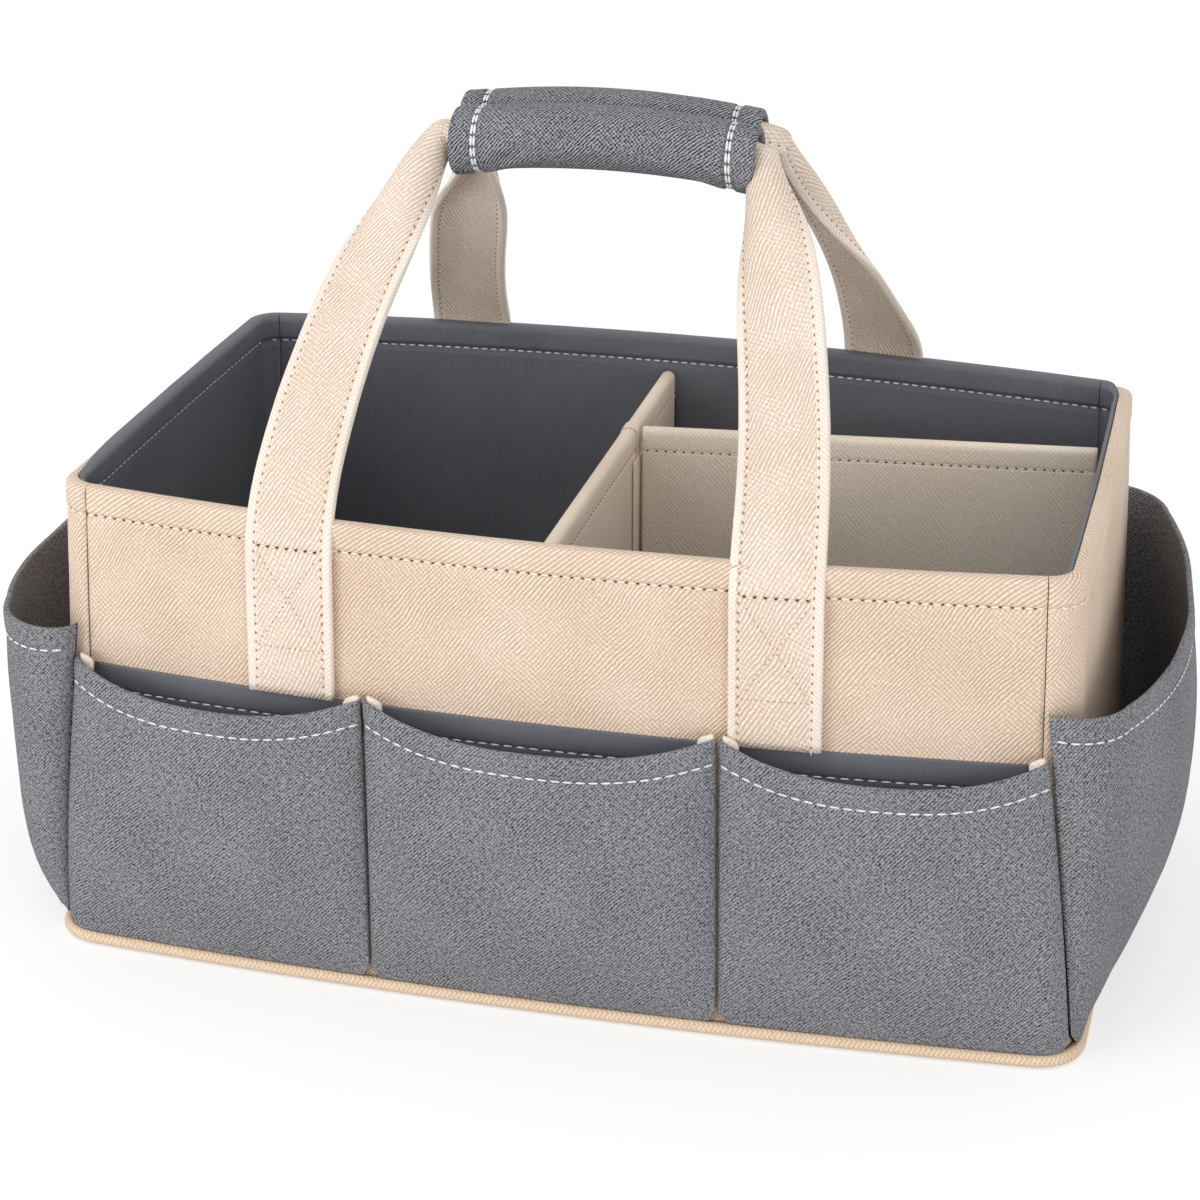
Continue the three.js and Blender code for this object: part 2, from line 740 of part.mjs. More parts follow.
const longDivider = new THREE.Group();
const hemFace = wallPoint(sideUnit(FRONT, dividerX), wallHeight, hemInner);
const longReach = -hemFace.y - dividerEndClearance;
const longCoverReach = longReach - hookTapeThickness - gap;
longDivider.position.x = dividerX;
longDivider.rotation.z = Math.PI / 2;
caddy.add(longDivider);
addDivider(longDivider, 'long_divider', -longCoverReach, longCoverReach);
addHookTape(longDivider, 'long_divider_tape_front', -longReach);
addHookTape(longDivider, 'long_divider_tape_back', longReach - hookTapeThickness);
const hingeTape = upright(
  dividerJunctionY - hingeTapeWidth / 2,
  dividerJunctionY + hingeTapeWidth / 2,
  -(dividerHalfThickness + gap + hingeTapeThickness / 2),
  hingeTapeThickness,
  dividerFoot + hookTapeMargin,
  dividerTop - hookTapeMargin,
);
addPiece(longDivider, 'divider_hinge_tape', hingeTape, 'leatherette');

// The short divider swings about its near end, clear of the hinge tape
const shortDivider = new THREE.Group();
const swingClearance = 1;
const pivotX = dividerX + dividerHalfThickness + gap + hingeTapeThickness + swingClearance;
const endFace = wallPoint(RIGHT + sidePart / 2, wallHeight, hemInner);
const shortReach = endFace.x - shortDividerFarClearance - pivotX;
shortDivider.position.set(pivotX, dividerJunctionY, 0);
shortDivider.rotation.z = shortDividerTurn;
caddy.add(shortDivider);
addDivider(shortDivider, 'short_divider', 0, shortReach - hookTapeThickness - gap);
addHookTape(shortDivider, 'short_divider_tape', shortReach - hookTapeThickness);

export default caddy;
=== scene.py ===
# %% [markdown]
# # A soft caddy, sewn piece by piece
#
# The caddy is leatherette, canvas and a smooth lining sewn over foam boards.
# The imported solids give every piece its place, so the first step loads them. Each soft
# piece is then made here at full fineness and stands for its solid.
# All lengths are in metres; `mm` keeps the numbers in the units that a sewing room uses.

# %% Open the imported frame
import math

import bmesh
import bpy
import numpy as np
from mathutils import Matrix, Vector, noise


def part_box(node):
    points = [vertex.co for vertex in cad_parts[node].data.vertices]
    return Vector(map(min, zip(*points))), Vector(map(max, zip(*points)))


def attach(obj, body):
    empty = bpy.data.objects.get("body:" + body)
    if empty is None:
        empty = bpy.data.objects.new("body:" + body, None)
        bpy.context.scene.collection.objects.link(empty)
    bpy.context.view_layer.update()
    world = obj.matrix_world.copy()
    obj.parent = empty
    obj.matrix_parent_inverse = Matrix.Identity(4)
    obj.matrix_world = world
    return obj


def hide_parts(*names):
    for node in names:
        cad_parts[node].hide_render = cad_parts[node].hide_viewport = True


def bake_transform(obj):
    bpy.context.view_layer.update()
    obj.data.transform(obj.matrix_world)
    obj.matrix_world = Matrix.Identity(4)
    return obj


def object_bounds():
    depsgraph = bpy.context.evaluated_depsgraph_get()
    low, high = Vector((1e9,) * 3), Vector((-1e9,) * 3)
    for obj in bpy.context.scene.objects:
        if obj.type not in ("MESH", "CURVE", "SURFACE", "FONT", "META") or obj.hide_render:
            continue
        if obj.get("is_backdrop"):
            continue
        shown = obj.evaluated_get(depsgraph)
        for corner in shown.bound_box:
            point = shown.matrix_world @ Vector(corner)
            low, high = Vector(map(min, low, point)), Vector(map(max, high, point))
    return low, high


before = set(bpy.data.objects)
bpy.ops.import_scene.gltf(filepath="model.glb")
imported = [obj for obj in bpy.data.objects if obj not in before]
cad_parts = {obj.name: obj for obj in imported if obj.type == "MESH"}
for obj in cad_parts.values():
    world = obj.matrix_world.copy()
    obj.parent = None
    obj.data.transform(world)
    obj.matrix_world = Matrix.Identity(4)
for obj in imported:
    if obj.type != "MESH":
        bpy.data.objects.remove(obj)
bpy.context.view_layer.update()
mm = 0.001

# %% [markdown]
# ## The camera
#
# The picture was taken from a little above and to the right of the front, with a long lens.
# A camera matrix can be built from three turns: round the upright, down towards the floor,
# and a very small roll. The shift keeps the lens axis a little off the middle of the frame.

# %% Camera
photo_pixels = 1200
focal_pixels = 2902.2
lens_axis_x, lens_axis_y = 628.75, 593.45
camera_place = 244.8 * mm, -1007.07 * mm, 570.07 * mm
camera_turn, camera_tilt, camera_roll = 0.2351, 0.4114, 0.0053
camera_data = bpy.data.cameras.new("camera")
camera_data.sensor_width = 36
camera_data.lens = camera_data.sensor_width * focal_pixels / photo_pixels
camera_data.shift_x = 0.5 - lens_axis_x / photo_pixels
camera_data.shift_y = lens_axis_y / photo_pixels - 0.5
camera = bpy.data.objects.new("camera", camera_data)
camera.matrix_world = (
    Matrix.Translation(camera_place)
    @ Matrix.Rotation(camera_turn, 4, "Z")
    @ Matrix.Rotation(math.pi / 2 - camera_tilt, 4, "X")
    @ Matrix.Rotation(camera_roll, 4, "Z")
)
bpy.context.scene.collection.objects.link(camera)
bpy.context.scene.camera = camera
print("lens", round(camera_data.lens, 1), "mm")

# %% [markdown]
# ## Nodes as arithmetic
#
# A material is a small sum of patterns. Wiring each sum by hand hides what it does, so
# `Signal` wraps one output of a node and lets it be added, multiplied or compared like a
# number, and `Finish` holds one material. `Finish.node` makes any other node: its type,
# its settings, then what goes into its sockets.

# %% Signal and Finish
class Signal:
    """One output of a node, on which arithmetic makes Math nodes."""

    def __init__(self, finish, socket):
        self.finish, self.socket = finish, socket

    def math(self, operation, *others):
        return self.finish.node(
            "ShaderNodeMath", {"operation": operation}, dict(enumerate((self, *others)))
        )

    def __add__(self, other):
        return self.math("ADD", other)

    def __sub__(self, other):
        return self.math("SUBTRACT", other)

    def __mul__(self, other):
        return self.math("MULTIPLY", other)

    def __rsub__(self, other):
        return self.finish.node(
            "ShaderNodeMath", {"operation": "SUBTRACT"}, {0: other, 1: self}
        )

    __radd__ = __add__
    __rmul__ = __mul__

    def sine(self):
        return self.math("SINE")

    def size(self):
        return self.math("ABSOLUTE")

    def within(self, low, high):
        """Runs from 0 at low to 1 at high, smoothly, and stays there."""
        return self.finish.node(
            "ShaderNodeMapRange",
            {"interpolation_type": "SMOOTHSTEP"},
            {"Value": self, "From Min": low, "From Max": high},
        )


class Finish:
    """One material with a Principled shader, whose colour, roughness and bump may vary."""

    def __init__(self, name, **constants):
        self.material = bpy.data.materials.new(name)
        self.material.use_nodes = True
        self.tree = self.material.node_tree
        self.shader = self.tree.nodes["Principled BSDF"]
        for socket, value in constants.items():
            self.shader.inputs[socket.replace("_", " ")].default_value = value

    def node(self, kind, settings, sockets, output=0):
        made = self.tree.nodes.new(kind)
        for setting, value in settings.items():
            setattr(made, setting, value)
        for key, value in sockets.items():
            if isinstance(value, Signal):
                self.tree.links.new(value.socket, made.inputs[key])
            else:
                made.inputs[key].default_value = value
        return Signal(self, made.outputs[output])

    def feed(self, socket, signal):
        self.tree.links.new(signal.socket, self.shader.inputs[socket])

    def in_mm(self, place):
        return self.node(
            "ShaderNodeVectorMath", {"operation": "SCALE"}, {0: place, "Scale": 1 / mm}
        )

    def cloth(self):
        """Where a point lies on its own cloth, in millimetres along and up."""
        return self.in_mm(self.node("ShaderNodeUVMap", {"uv_map": "cloth"}, {}))

    def space(self):
        """Where a point lies in the object, in millimetres."""
        return self.in_mm(self.node("ShaderNodeTexCoord", {}, {}, "Object"))

    def part(self, vector, axis):
        return self.node("ShaderNodeSeparateXYZ", {}, {0: vector}, axis)

    def grain(self, vector, scale, detail=2.0):
        """Soft noise from about 0 to 1, with blobs about 1 / scale wide."""
        return self.node(
            "ShaderNodeTexNoise", {}, {"Vector": vector, "Scale": scale, "Detail": detail}
        )

    def strokes(self, vector, degrees, length, width):
        """Noise drawn out into fibres of that length and width, at an angle."""
        turned = self.node(
            "ShaderNodeMapping",
            {"vector_type": "TEXTURE"},
            {
                "Vector": vector,
                "Rotation": (0, 0, math.radians(degrees)),
                "Scale": (length, width, 1),
            },
        )
        return self.grain(turned, 1.0, 2.0)

    def colour(self, share, low, high):
        """Paints from low, where share is 0, to high, where it is 1, both as they show."""
        sockets = {"Factor": share, 6: rgb(*low), 7: rgb(*high)}
        self.feed("Base Color", self.node("ShaderNodeMix", {"data_type": "RGBA"}, sockets, 2))

    def bump(self, height, distance):
        sockets = {"Height": height, "Distance": distance}
        self.feed("Normal", self.node("ShaderNodeBump", {}, sockets))


def rgb(red, green, blue):
    """A colour written as it shows, as the linear values that shaders use."""
    parts = (part / 255 for part in (red, green, blue))
    return (*(p / 12.92 if p <= 0.04045 else ((p + 0.055) / 1.055) ** 2.4 for p in parts), 1)

# %% [markdown]
# ## The floor and the light
#
# The caddy stands on a white sheet in soft daylight. The floor is plain and pale; to the
# camera it is partly self-lit, so it shows as white and still keeps the contact shadow.
# Where the camera should see one shader and the bounced light another, a Light Path node
# chooses between the two. The light is a pale world, a wide lamp at the upper left, as a
# window would be, and two low ones in front, which reach the inner faces of the straps.

# %% Floor
def piece_from(bm, name):
    """Makes the object of a finished bmesh, with its place in its mesh."""
    mesh = bpy.data.meshes.new(name)
    bm.to_mesh(mesh)
    bm.free()
    made = bpy.data.objects.new(name, mesh)
    bpy.context.scene.collection.objects.link(made)
    return made


def pale(tree, kind, grey, strength=None):
    """A shader of one plain grey."""
    made = tree.nodes.new(kind)
    made.inputs["Color"].default_value = (grey, grey, grey, 1)
    if strength is not None:
        made.inputs["Strength"].default_value = strength
    return made


def seen_apart(tree, bounced, seen, surface):
    """Shows one shader to the camera and the other to the light that bounces."""
    eye = tree.nodes.new("ShaderNodeLightPath")
    choose = tree.nodes.new("ShaderNodeMixShader")
    tree.links.new(eye.outputs["Is Camera Ray"], choose.inputs[0])
    tree.links.new(bounced.outputs[0], choose.inputs[1])
    tree.links.new(seen.outputs[0], choose.inputs[2])
    tree.links.new(choose.outputs[0], surface.inputs["Surface"])


floor_size, below_feet = 6, 0.3 * mm
floor_bounce, floor_grey, floor_glow = 0.8, 0.5, 0.56
floor_mesh = bmesh.new()
bmesh.ops.create_grid(floor_mesh, x_segments=1, y_segments=1, size=floor_size)
bmesh.ops.translate(floor_mesh, vec=(0, 0, -below_feet), verts=floor_mesh.verts)
floor = piece_from(floor_mesh, "floor")
floor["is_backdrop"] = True

floor_white = bpy.data.materials.new("floor_white")
floor_white.use_nodes = True
tree = floor_white.node_tree
tree.nodes.clear()
bounced = pale(tree, "ShaderNodeBsdfDiffuse", floor_bounce)
lit = pale(tree, "ShaderNodeBsdfDiffuse", floor_grey)
glow = pale(tree, "ShaderNodeEmission", 1, floor_glow)
both = tree.nodes.new("ShaderNodeAddShader")
tree.links.new(lit.outputs[0], both.inputs[0])
tree.links.new(glow.outputs[0], both.inputs[1])
seen_apart(tree, bounced, both, tree.nodes.new("ShaderNodeOutputMaterial"))
floor.data.materials.append(floor_white)
print("floor", 2 * floor_size, "m wide")

# %% World and lamps
sky_strength, backdrop_strength = 0.86, 1.0
world = bpy.data.worlds.new("daylight")
bpy.context.scene.world = world
world.use_nodes = True
tree = world.node_tree
sky = tree.nodes["Background"]
sky.inputs["Color"].default_value = (1, 1, 1, 1)
sky.inputs["Strength"].default_value = sky_strength
backdrop = pale(tree, "ShaderNodeBackground", 1, backdrop_strength)
seen_apart(tree, sky, backdrop, tree.nodes["World Output"])


def lamp(name, place, target, width, power):
    """A square lamp at place that shines towards target."""
    data = bpy.data.lights.new(name, "AREA")
    data.size = width
    data.energy = power
    made = bpy.data.objects.new(name, data)
    made.location = place
    made.rotation_mode = "QUATERNION"
    made.rotation_quaternion = (Vector(target) - Vector(place)).to_track_quat("-Z", "Y")
    bpy.context.scene.collection.objects.link(made)


lamp("window", (-1.4, -1.1, 1.6), target=(0, 0, 0.1), width=1.1, power=8)
lamp("low_left", (-1.15, -1.6, 0.3), target=(0, 0, 0.2), width=0.9, power=9.5)
lamp("low_right", (1.3, -1.6, 0.3), target=(0, 0, 0.2), width=0.9, power=8)

bpy.context.scene.view_settings.view_transform = "Standard"
print(len(bpy.data.lights), "lamps")

# %% [markdown]
# ## The wall that everything is sewn to
#
# Seen from above, the rim is a rectangle with softly bowed sides and round corners, and the
# foot is the same shape a little larger. Every layer follows this wall at its own offset.
# So one function is enough: it takes how far round the caddy a point is (each side is
# 0.8 of a unit and its corner the rest), its height and its offset, and gives its place.

# %% The plan of the rim and of the foot
corner_radius = 14 * mm
wall_height = 185.4 * mm
end_bow = 0.8 * mm
side_part = 0.8
FRONT, RIGHT, BACK, LEFT = range(4)


def bowed_arc(half_chord, bow):
    """Radius, half angle and depth of an arc that bulges by bow over its chord."""
    radius = (half_chord**2 + bow**2) / (2 * bow)
    return radius, math.asin(half_chord / radius), radius - bow


def make_plan(half_length, half_depth, side_bow):
    """Where the corner centres are, and the arcs of the long sides and of the ends."""
    half_x, half_y = half_length - corner_radius, half_depth - corner_radius
    return half_x, half_y, bowed_arc(half_x, side_bow), bowed_arc(half_y, end_bow)


rim_plan = make_plan(half_length=185.4 * mm, half_depth=104.6 * mm, side_bow=13.6 * mm)
foot_plan = make_plan(half_length=192.8 * mm, half_depth=110.4 * mm, side_bow=6.9 * mm)
corner_length = corner_radius * math.pi / 2
seam_x = rim_plan[0]


def on_plan(plan, unit):
    """The corner centre or arc point, and the outward normal, at unit places of a plan."""
    half_x, half_y, side, end = plan
    turn = np.mod(unit, 4)
    quarter = np.floor(turn)
    share = turn - quarter
    along = quarter % 2 == 0
    radius = np.where(along, side[0], end[0])
    half_angle = np.where(along, side[1], end[1])
    depth = np.where(along, side[2], end[2])
    half_long = np.where(along, half_x, half_y)
    half_deep = np.where(along, half_y, half_x)
    last = math.pi / 2 - np.where(along, end[1], side[1])
    straight = share <= side_part
    round_share = (share - side_part) / (1 - side_part)
    angle = np.where(
        straight,
        half_angle * (2 * share / side_part - 1),
        half_angle + (last - half_angle) * round_share,
    )
    nx, ny = np.sin(angle), -np.cos(angle)
    cx = np.where(straight, radius * nx, half_long)
    cy = np.where(straight, depth - half_deep + radius * ny, -half_deep)
    c, s = np.cos(quarter * math.pi / 2), np.sin(quarter * math.pi / 2)
    return cx * c - cy * s, cx * s + cy * c, nx * c - ny * s, nx * s + ny * c


def on_wall(unit, z, offset):
    """Points round the caddy at height z, offset outwards from the wall's outer face."""
    unit, z, offset = np.broadcast_arrays(unit, z, offset)
    foot, rim = np.array(on_plan(foot_plan, unit)), np.array(on_plan(rim_plan, unit))
    cx, cy, nx, ny = foot + (rim - foot) * (z / wall_height)
    out = corner_radius + offset
    return np.stack((cx + nx * out, cy + ny * out, z), -1)


def wall_normal(unit, z):
    """The direction straight out of the wall, one long."""
    there = on_wall(unit, z, 1.0) - on_wall(unit, z, 0.0)
    return there / np.linalg.norm(there, axis=-1, keepdims=True)


def unit_along(side, length):
    """The unit place at a length along a side from its middle, on round its corners."""
    half = rim_plan[0] if side % 2 == 0 else rim_plan[1]
    straight = np.clip(length, -half, half)
    beyond = (length - straight) * (1 - side_part) / corner_length
    return side + side_part / 2 * (1 + straight / half) + beyond


for name, z in (("rim", wall_height), ("foot", 0.0)):
    print(name, "in the middle of the front:", np.round(on_wall(side_part / 2, z, 0.0), 4))

# %% [markdown]
# ## Sewing a shell
#
# A sewn panel is thin and closed: an outer face, a turned edge and an inner face. It can be
# made from one flat grid. Its columns run along the seam and its rows run round the
# section, so bending the grid and welding its first row to its last closes the shell.
# `rounded_path` draws such a section from a few corners and rounds each one off, and
# `shell` bends the grid and keeps, for the weave, where each point lies on its cloth.

# %% Sections and shells
def rounded_path(corners, longest=None, steps=4):
    """Points along a closed path whose corners (x, y, radius) are rounded off."""
    spots = [np.array(corner[:2], float) for corner in corners]
    path = []
    for i, spot in enumerate(spots):
        radius = corners[i][2]
        if radius == 0:
            path.append(spot)
            continue
        back, on = spots[i - 1] - spot, spots[(i + 1) % len(spots)] - spot
        back_length, on_length = np.linalg.norm(back), np.linalg.norm(on)
        back, on = back / back_length, on / on_length
        half = math.acos(float(np.clip(back @ on, -1, 1))) / 2
        reach = min(radius / max(math.tan(half), 1e-6), 0.49 * back_length, 0.49 * on_length)
        for share in np.linspace(0, 1, steps + 1):
            one, two = spot + back * reach, spot + on * reach
            path.append((1 - share) ** 2 * one + 2 * share * (1 - share) * spot + share**2 * two)
    return np.array(spread(path, longest) if longest else path)


def spread(path, longest):
    """Adds points to a closed path so that no step of it is longer than longest."""
    spaced = []
    for one, two in zip(path, path[1:] + path[:1]):
        count = max(1, math.ceil(np.linalg.norm(two - one) / longest))
        spaced += [one + (two - one) * k / count for k in range(count)]
    return spaced


def shell(name, places, cloth, ring=False):
    """A closed shell through places[column, row], whose rows close on themselves.
    cloth[column, row] is where each point lies on the cloth; its last row is one more
    than that of places, so that the weave runs on over the join."""
    columns, rows = places.shape[0] - (0 if ring else 1), places.shape[1]
    bm = bmesh.new()
    bmesh.ops.create_grid(bm, x_segments=columns, y_segments=rows, size=0.5)
    weave = bm.loops.layers.uv.new("cloth")
    steps = [
        (round((v.co.x + 0.5) * columns), round((v.co.y + 0.5) * rows)) for v in bm.verts
    ]
    for v, (i, j) in zip(bm.verts, steps):
        v.co = places[i % places.shape[0], j % rows]
    bm.verts.index_update()
    for face in bm.faces:
        for loop in face.loops:
            loop[weave].uv = cloth[steps[loop.vert.index]]
    bmesh.ops.remove_doubles(bm, verts=bm.verts, dist=1e-7)
    if not ring:
        open_edges = [edge for edge in bm.edges if edge.is_boundary]
        bmesh.ops.holes_fill(bm, edges=open_edges, sides=0)
    bmesh.ops.recalc_face_normals(bm, faces=bm.faces)
    for face in bm.faces:
        face.smooth = True
    return piece_from(bm, name)


def count_faces(pieces):
    """How many faces the pieces of a dictionary have in all."""
    return sum(len(piece.data.polygons) for piece in pieces.values())


def cloth_lengths(path, closed=True):
    """How far along a path each point lies, with one more entry for a path that closes."""
    nexts = np.roll(path, -1, 0) if closed else path[1:]
    steps = np.linalg.norm(nexts - (path if closed else path[:-1]), axis=1)
    return np.concatenate(([0], np.cumsum(steps)))


def wall_shell(name, units, sections, relief=None):
    """A shell that follows the wall, with a section of (offset, height) at each unit place."""
    offset, z = sections[..., 0], sections[..., 1]
    unit = np.repeat(units[:, None], z.shape[1], 1)
    if relief:
        offset = offset + relief(unit, z, offset)
    places = on_wall(unit, z, offset)
    along = cloth_lengths(on_wall(units, 0.6 * wall_height, 0.0), closed=False)
    up = np.array([cloth_lengths(section) for section in sections])
    cloth = np.stack((np.repeat(along[:, None], up.shape[1], 1), up), -1)
    return shell(name, places, cloth)


def all_along(units, section):
    """The same section at every unit place."""
    return np.repeat(section[None], len(units), 0)


def units_between(first, last, step):
    """Unit places from first to last, about as far apart on the sides as in the corners."""
    fine = np.arange(0, 4.0001, 0.01)
    line = on_wall(first + fine[fine <= last - first], 0.5 * wall_height, 0.0)
    length = cloth_lengths(line, closed=False)
    count = max(2, math.ceil(length[-1] / step))
    return np.interp(
        np.linspace(0, length[-1], count + 1), length, first + fine[: len(length)]
    ) + np.linspace(0, last - first - fine[len(length) - 1], count + 1)


# %% [markdown]
# ## Wall covers
#
# Each wall is a foam board in a leatherette cover. The cover is turned over the rim in a
# soft hem 10 mm high, and a sewn line below it pulls a groove. The four covers meet in a
# seam beside each corner. At the front and the right the leatherette rolls over the top of
# the rim; at the back and the left it stops lower, and the lining rolls over it instead.
# So the section is drawn at every step, between those two. Small hollows and swells, from
# noise, keep the leatherette from looking rigid.

# %% Covers
seam_line = 174.9 * mm


def section_mm(corners):
    """A section drawn in millimetres, as corners of (offset, height, rounding)."""
    return rounded_path([(o * mm, z * mm, r * mm) for o, z, r in corners])


def lining_share(unit):
    """0 where the cover rolls over the rim, 1 where the lining does."""
    turn = np.mod(unit, 4)
    return smooth(1.84, 1.97, turn) * (1 - smooth(3.66, 3.93, turn))


def smooth(low, high, x):
    """Runs from 0 at low to 1 at high, with no kink at either end."""
    t = np.clip((x - low) / (high - low), 0, 1)
    return t * t * (3 - 2 * t)


def cover_section(share):
    """The cover's section. At share 1 its roll gives way to the lining's."""
    up = [(0, z, 0) for z in np.linspace(8, 166, 30)]
    down = [(-1.4, z, 0) for z in np.linspace(166, 8, 12)]
    roll = [
        (0.42, 185.4 - 1.6 * share, 2.6 - 0.9 * share),
        (-5 + 2.9 * share, 185.4 - 1.3 * share, 1.7 - 0.9 * share),
        (-5 + 2.9 * share, 182.4, 0.3),
    ]
    hem = [(0, 172.6, 0.8), (-0.5, 174.9, 0.45), (0.36, 176.4, 1.3)]
    foot, back = (0, 1.7, 0.4), (-1.4, 1.7, 0.3)
    return section_mm([foot, *up, *hem, *roll, (-1.4, 182.4, 0.3), *down, back])


def sections_along(units, draw):
    """A section at every unit place, drawn for its share of the lining's roll."""
    return np.array([draw(float(lining_share(unit))) for unit in units])


def soft_swell(scale, amount, seed):
    """Small hollows and swells of a padded surface, the same on every run."""

    def relief(unit, z, offset):
        places = on_wall(unit, z, 0.0) * scale
        lift = [noise.noise(Vector(p) + Vector((seed, 0, 0))) for p in places.reshape(-1, 3)]
        return amount * np.array(lift).reshape(unit.shape)

    return relief


def turned_in(units, depth, width):
    """How much a panel sinks into its end seams, at each unit place."""
    along = cloth_lengths(on_wall(units, 0.6 * wall_height, 0.0), closed=False)
    edge = np.minimum(along, along[-1] - along)
    return -depth * (1 - smooth(0, width, edge))


strip_height, strip_flat, strip_end = 0.45 * mm, 3.6 * mm, 4.6 * mm


def cover_relief(wall, seed):
    """Swells, seams that sink, and a folded strip beside both seams of the left end."""
    swell = soft_swell(scale=45, amount=0.16 * mm, seed=seed)

    def relief(unit, z, offset):
        units = unit[:, 0]
        along = cloth_lengths(on_wall(units, 0.6 * wall_height, 0.0), closed=False)
        edge = np.minimum(along, along[-1] - along)
        sunk = turned_in(units, depth=0.7 * mm, width=1.2 * mm)
        if wall == "left_end":
            sunk = sunk + strip_height * (1 - smooth(strip_flat, strip_end, edge))
        outside = (offset > -0.9 * mm) & (z < 184 * mm)
        return swell(unit, z, offset) + sunk[:, None] * outside

    return relief


cover_spans = {
    "front": (FRONT, FRONT + side_part),
    "right_end": (FRONT + side_part, BACK),
    "back": (BACK, BACK + side_part),
    "left_end": (BACK + side_part, 4),
}
half_seam_unit = 0.06 * mm * (1 - side_part) / corner_length


def seamed_units(first, last, step):
    """Unit places of a panel, with a few close together at each seam."""
    even = units_between(first + half_seam_unit, last - half_seam_unit, step)
    near = np.array((0.12, 0.3, 0.55))
    start = even[0] + near * (even[1] - even[0])
    end = even[-1] - near[::-1] * (even[-1] - even[-2])
    return np.concatenate((even[:1], start, even[1:-1], end, even[-1:]))


covers = {}
for seed, (wall, (first, last)) in enumerate(cover_spans.items()):
    units = seamed_units(first, last, 3 * mm)
    covers[wall] = wall_shell(
        f"{wall}_cover_skin", units, sections_along(units, cover_section), cover_relief(wall, seed)
    )
print(len(covers), "covers,", count_faces(covers), "faces")

# %% [markdown]
# ## Lining
#
# The lining hangs inside the boards and ends in its own padded hem. Its section is drawn in
# the same way. Where cloth is turned round a corner it gathers, so short upright folds are
# added there, fading out away from the corner.

# %% Lining
lining_seam_line = 175.2 * mm
gather_depth, gather_spread = 0.6 * mm, 0.1


def lining_section(share):
    """The lining's section. At share 1 its hem rolls over the top of the rim."""
    up = [(-6.4, z, 0) for z in np.linspace(12, 166, 26)]
    down = [(-5.2, z, 0) for z in np.linspace(166, 12, 10)]
    hem = [(-6.4, 172.6, 0.8), (-5.85, 175.2, 0.5), (-7.0 - 0.5 * share, 177.2, 1.6)]
    roll = [
        (-7.0 - 0.5 * share, 184.4 + 1.9 * share, 1.5 + 1.4 * share),
        (-5.3 + 3.4 * share, 184.4 + 1.9 * share, 0.6 + 1.1 * share),
        (-5.3 + 3.4 * share, 184.0 + 0.6 * share, 0.1),
        (-5.3, 182.2, 0.3),
    ]
    low = [(-5.2, 172.8, 0.6)]
    return section_mm([(-6.4, 6.5, 0.4), *up, *hem, *roll, *low, *down, (-5.2, 6.5, 0.3)])


def lining_relief(seed):
    """Swells, and gathers that are deepest in the corners and at the top."""
    swell = soft_swell(scale=60, amount=0.16 * mm, seed=10 + seed)

    def relief(unit, z, offset):
        turn = np.mod(unit, 1)
        middle = side_part + (1 - side_part) / 2
        near = sum(
            np.exp(-(((turn + full_turn - middle) / gather_spread) ** 2)) for full_turn in (0, 1)
        )
        fold = np.sin(unit * 210 + 2.5 * np.sin(unit * 37) + z * 60)
        high = smooth(40 * mm, 180 * mm, z)
        inside = offset < -5.6 * mm
        sunk = -turned_in(unit[:, 0], depth=0.2 * mm, width=1.2 * mm)[:, None]
        return swell(unit, z, offset) + inside * (gather_depth * near * fold * high + sunk)

    return relief


linings = {}
for seed, (wall, (first, last)) in enumerate(cover_spans.items()):
    units = seamed_units(first, last, 2.4 * mm)
    linings[wall] = wall_shell(
        f"{wall}_lining_skin", units, sections_along(units, lining_section), lining_relief(seed)
    )
print(len(linings), "linings,", count_faces(linings), "faces")

# %% [markdown]
# ## Floor lining, base panel and piping
#
# Two soft plates close the caddy below: the lining on its floor and the leatherette under
# its base. Both follow the plan, so the grid is bent into their rounded edge and the two
# flat faces are filled in. The piping is a cord sewn into the seam round the base. It is a
# ring of small circles that follows the same plan, closed in both directions.

# %% Floor lining and base panel
plate_margin = 8 * mm


def base_plate(name, offset, foot, top, edge):
    """A soft plate that follows the plan, with a rounded edge and closed faces."""
    units = units_between(0, 4, 5 * mm)[:-1]
    inner = offset - plate_margin
    lower = [(inner, foot), (offset - edge, foot), (offset, foot + edge)]
    upper = [(offset, top - edge), (offset - edge, top), (inner, top)]
    section = np.array(lower + upper)
    unit, row = np.meshgrid(units, np.arange(len(section)), indexing="ij")
    places = on_wall(unit, section[row, 1], section[row, 0])
    bm = bmesh.new()
    last = len(section) - 1
    bmesh.ops.create_grid(bm, x_segments=len(units), y_segments=last, size=0.5)
    for v in bm.verts:
        i = round((v.co.x + 0.5) * len(units)) % len(units)
        v.co = places[i, round((v.co.y + 0.5) * last)]
    bmesh.ops.remove_doubles(bm, verts=bm.verts, dist=1e-7)
    rims = [line for line in bm.edges if line.is_boundary]
    made = bmesh.ops.holes_fill(bm, edges=rims, sides=0)
    bmesh.ops.recalc_face_normals(bm, faces=bm.faces)
    weave = bm.loops.layers.uv.new("cloth")
    for face in bm.faces:
        for loop in face.loops:
            loop[weave].uv = loop.vert.co.xy
        face.smooth = face not in made["faces"]
    return piece_from(bm, name)


floor_skin = base_plate(
    "floor_lining_skin", offset=-5.4 * mm, foot=5.0 * mm, top=6.2 * mm, edge=0.4 * mm
)
base_skin = base_plate("base_panel_skin", offset=0.0, foot=0.0, top=1.4 * mm, edge=0.4 * mm)

print(len(base_skin.data.polygons), "faces in each plate")

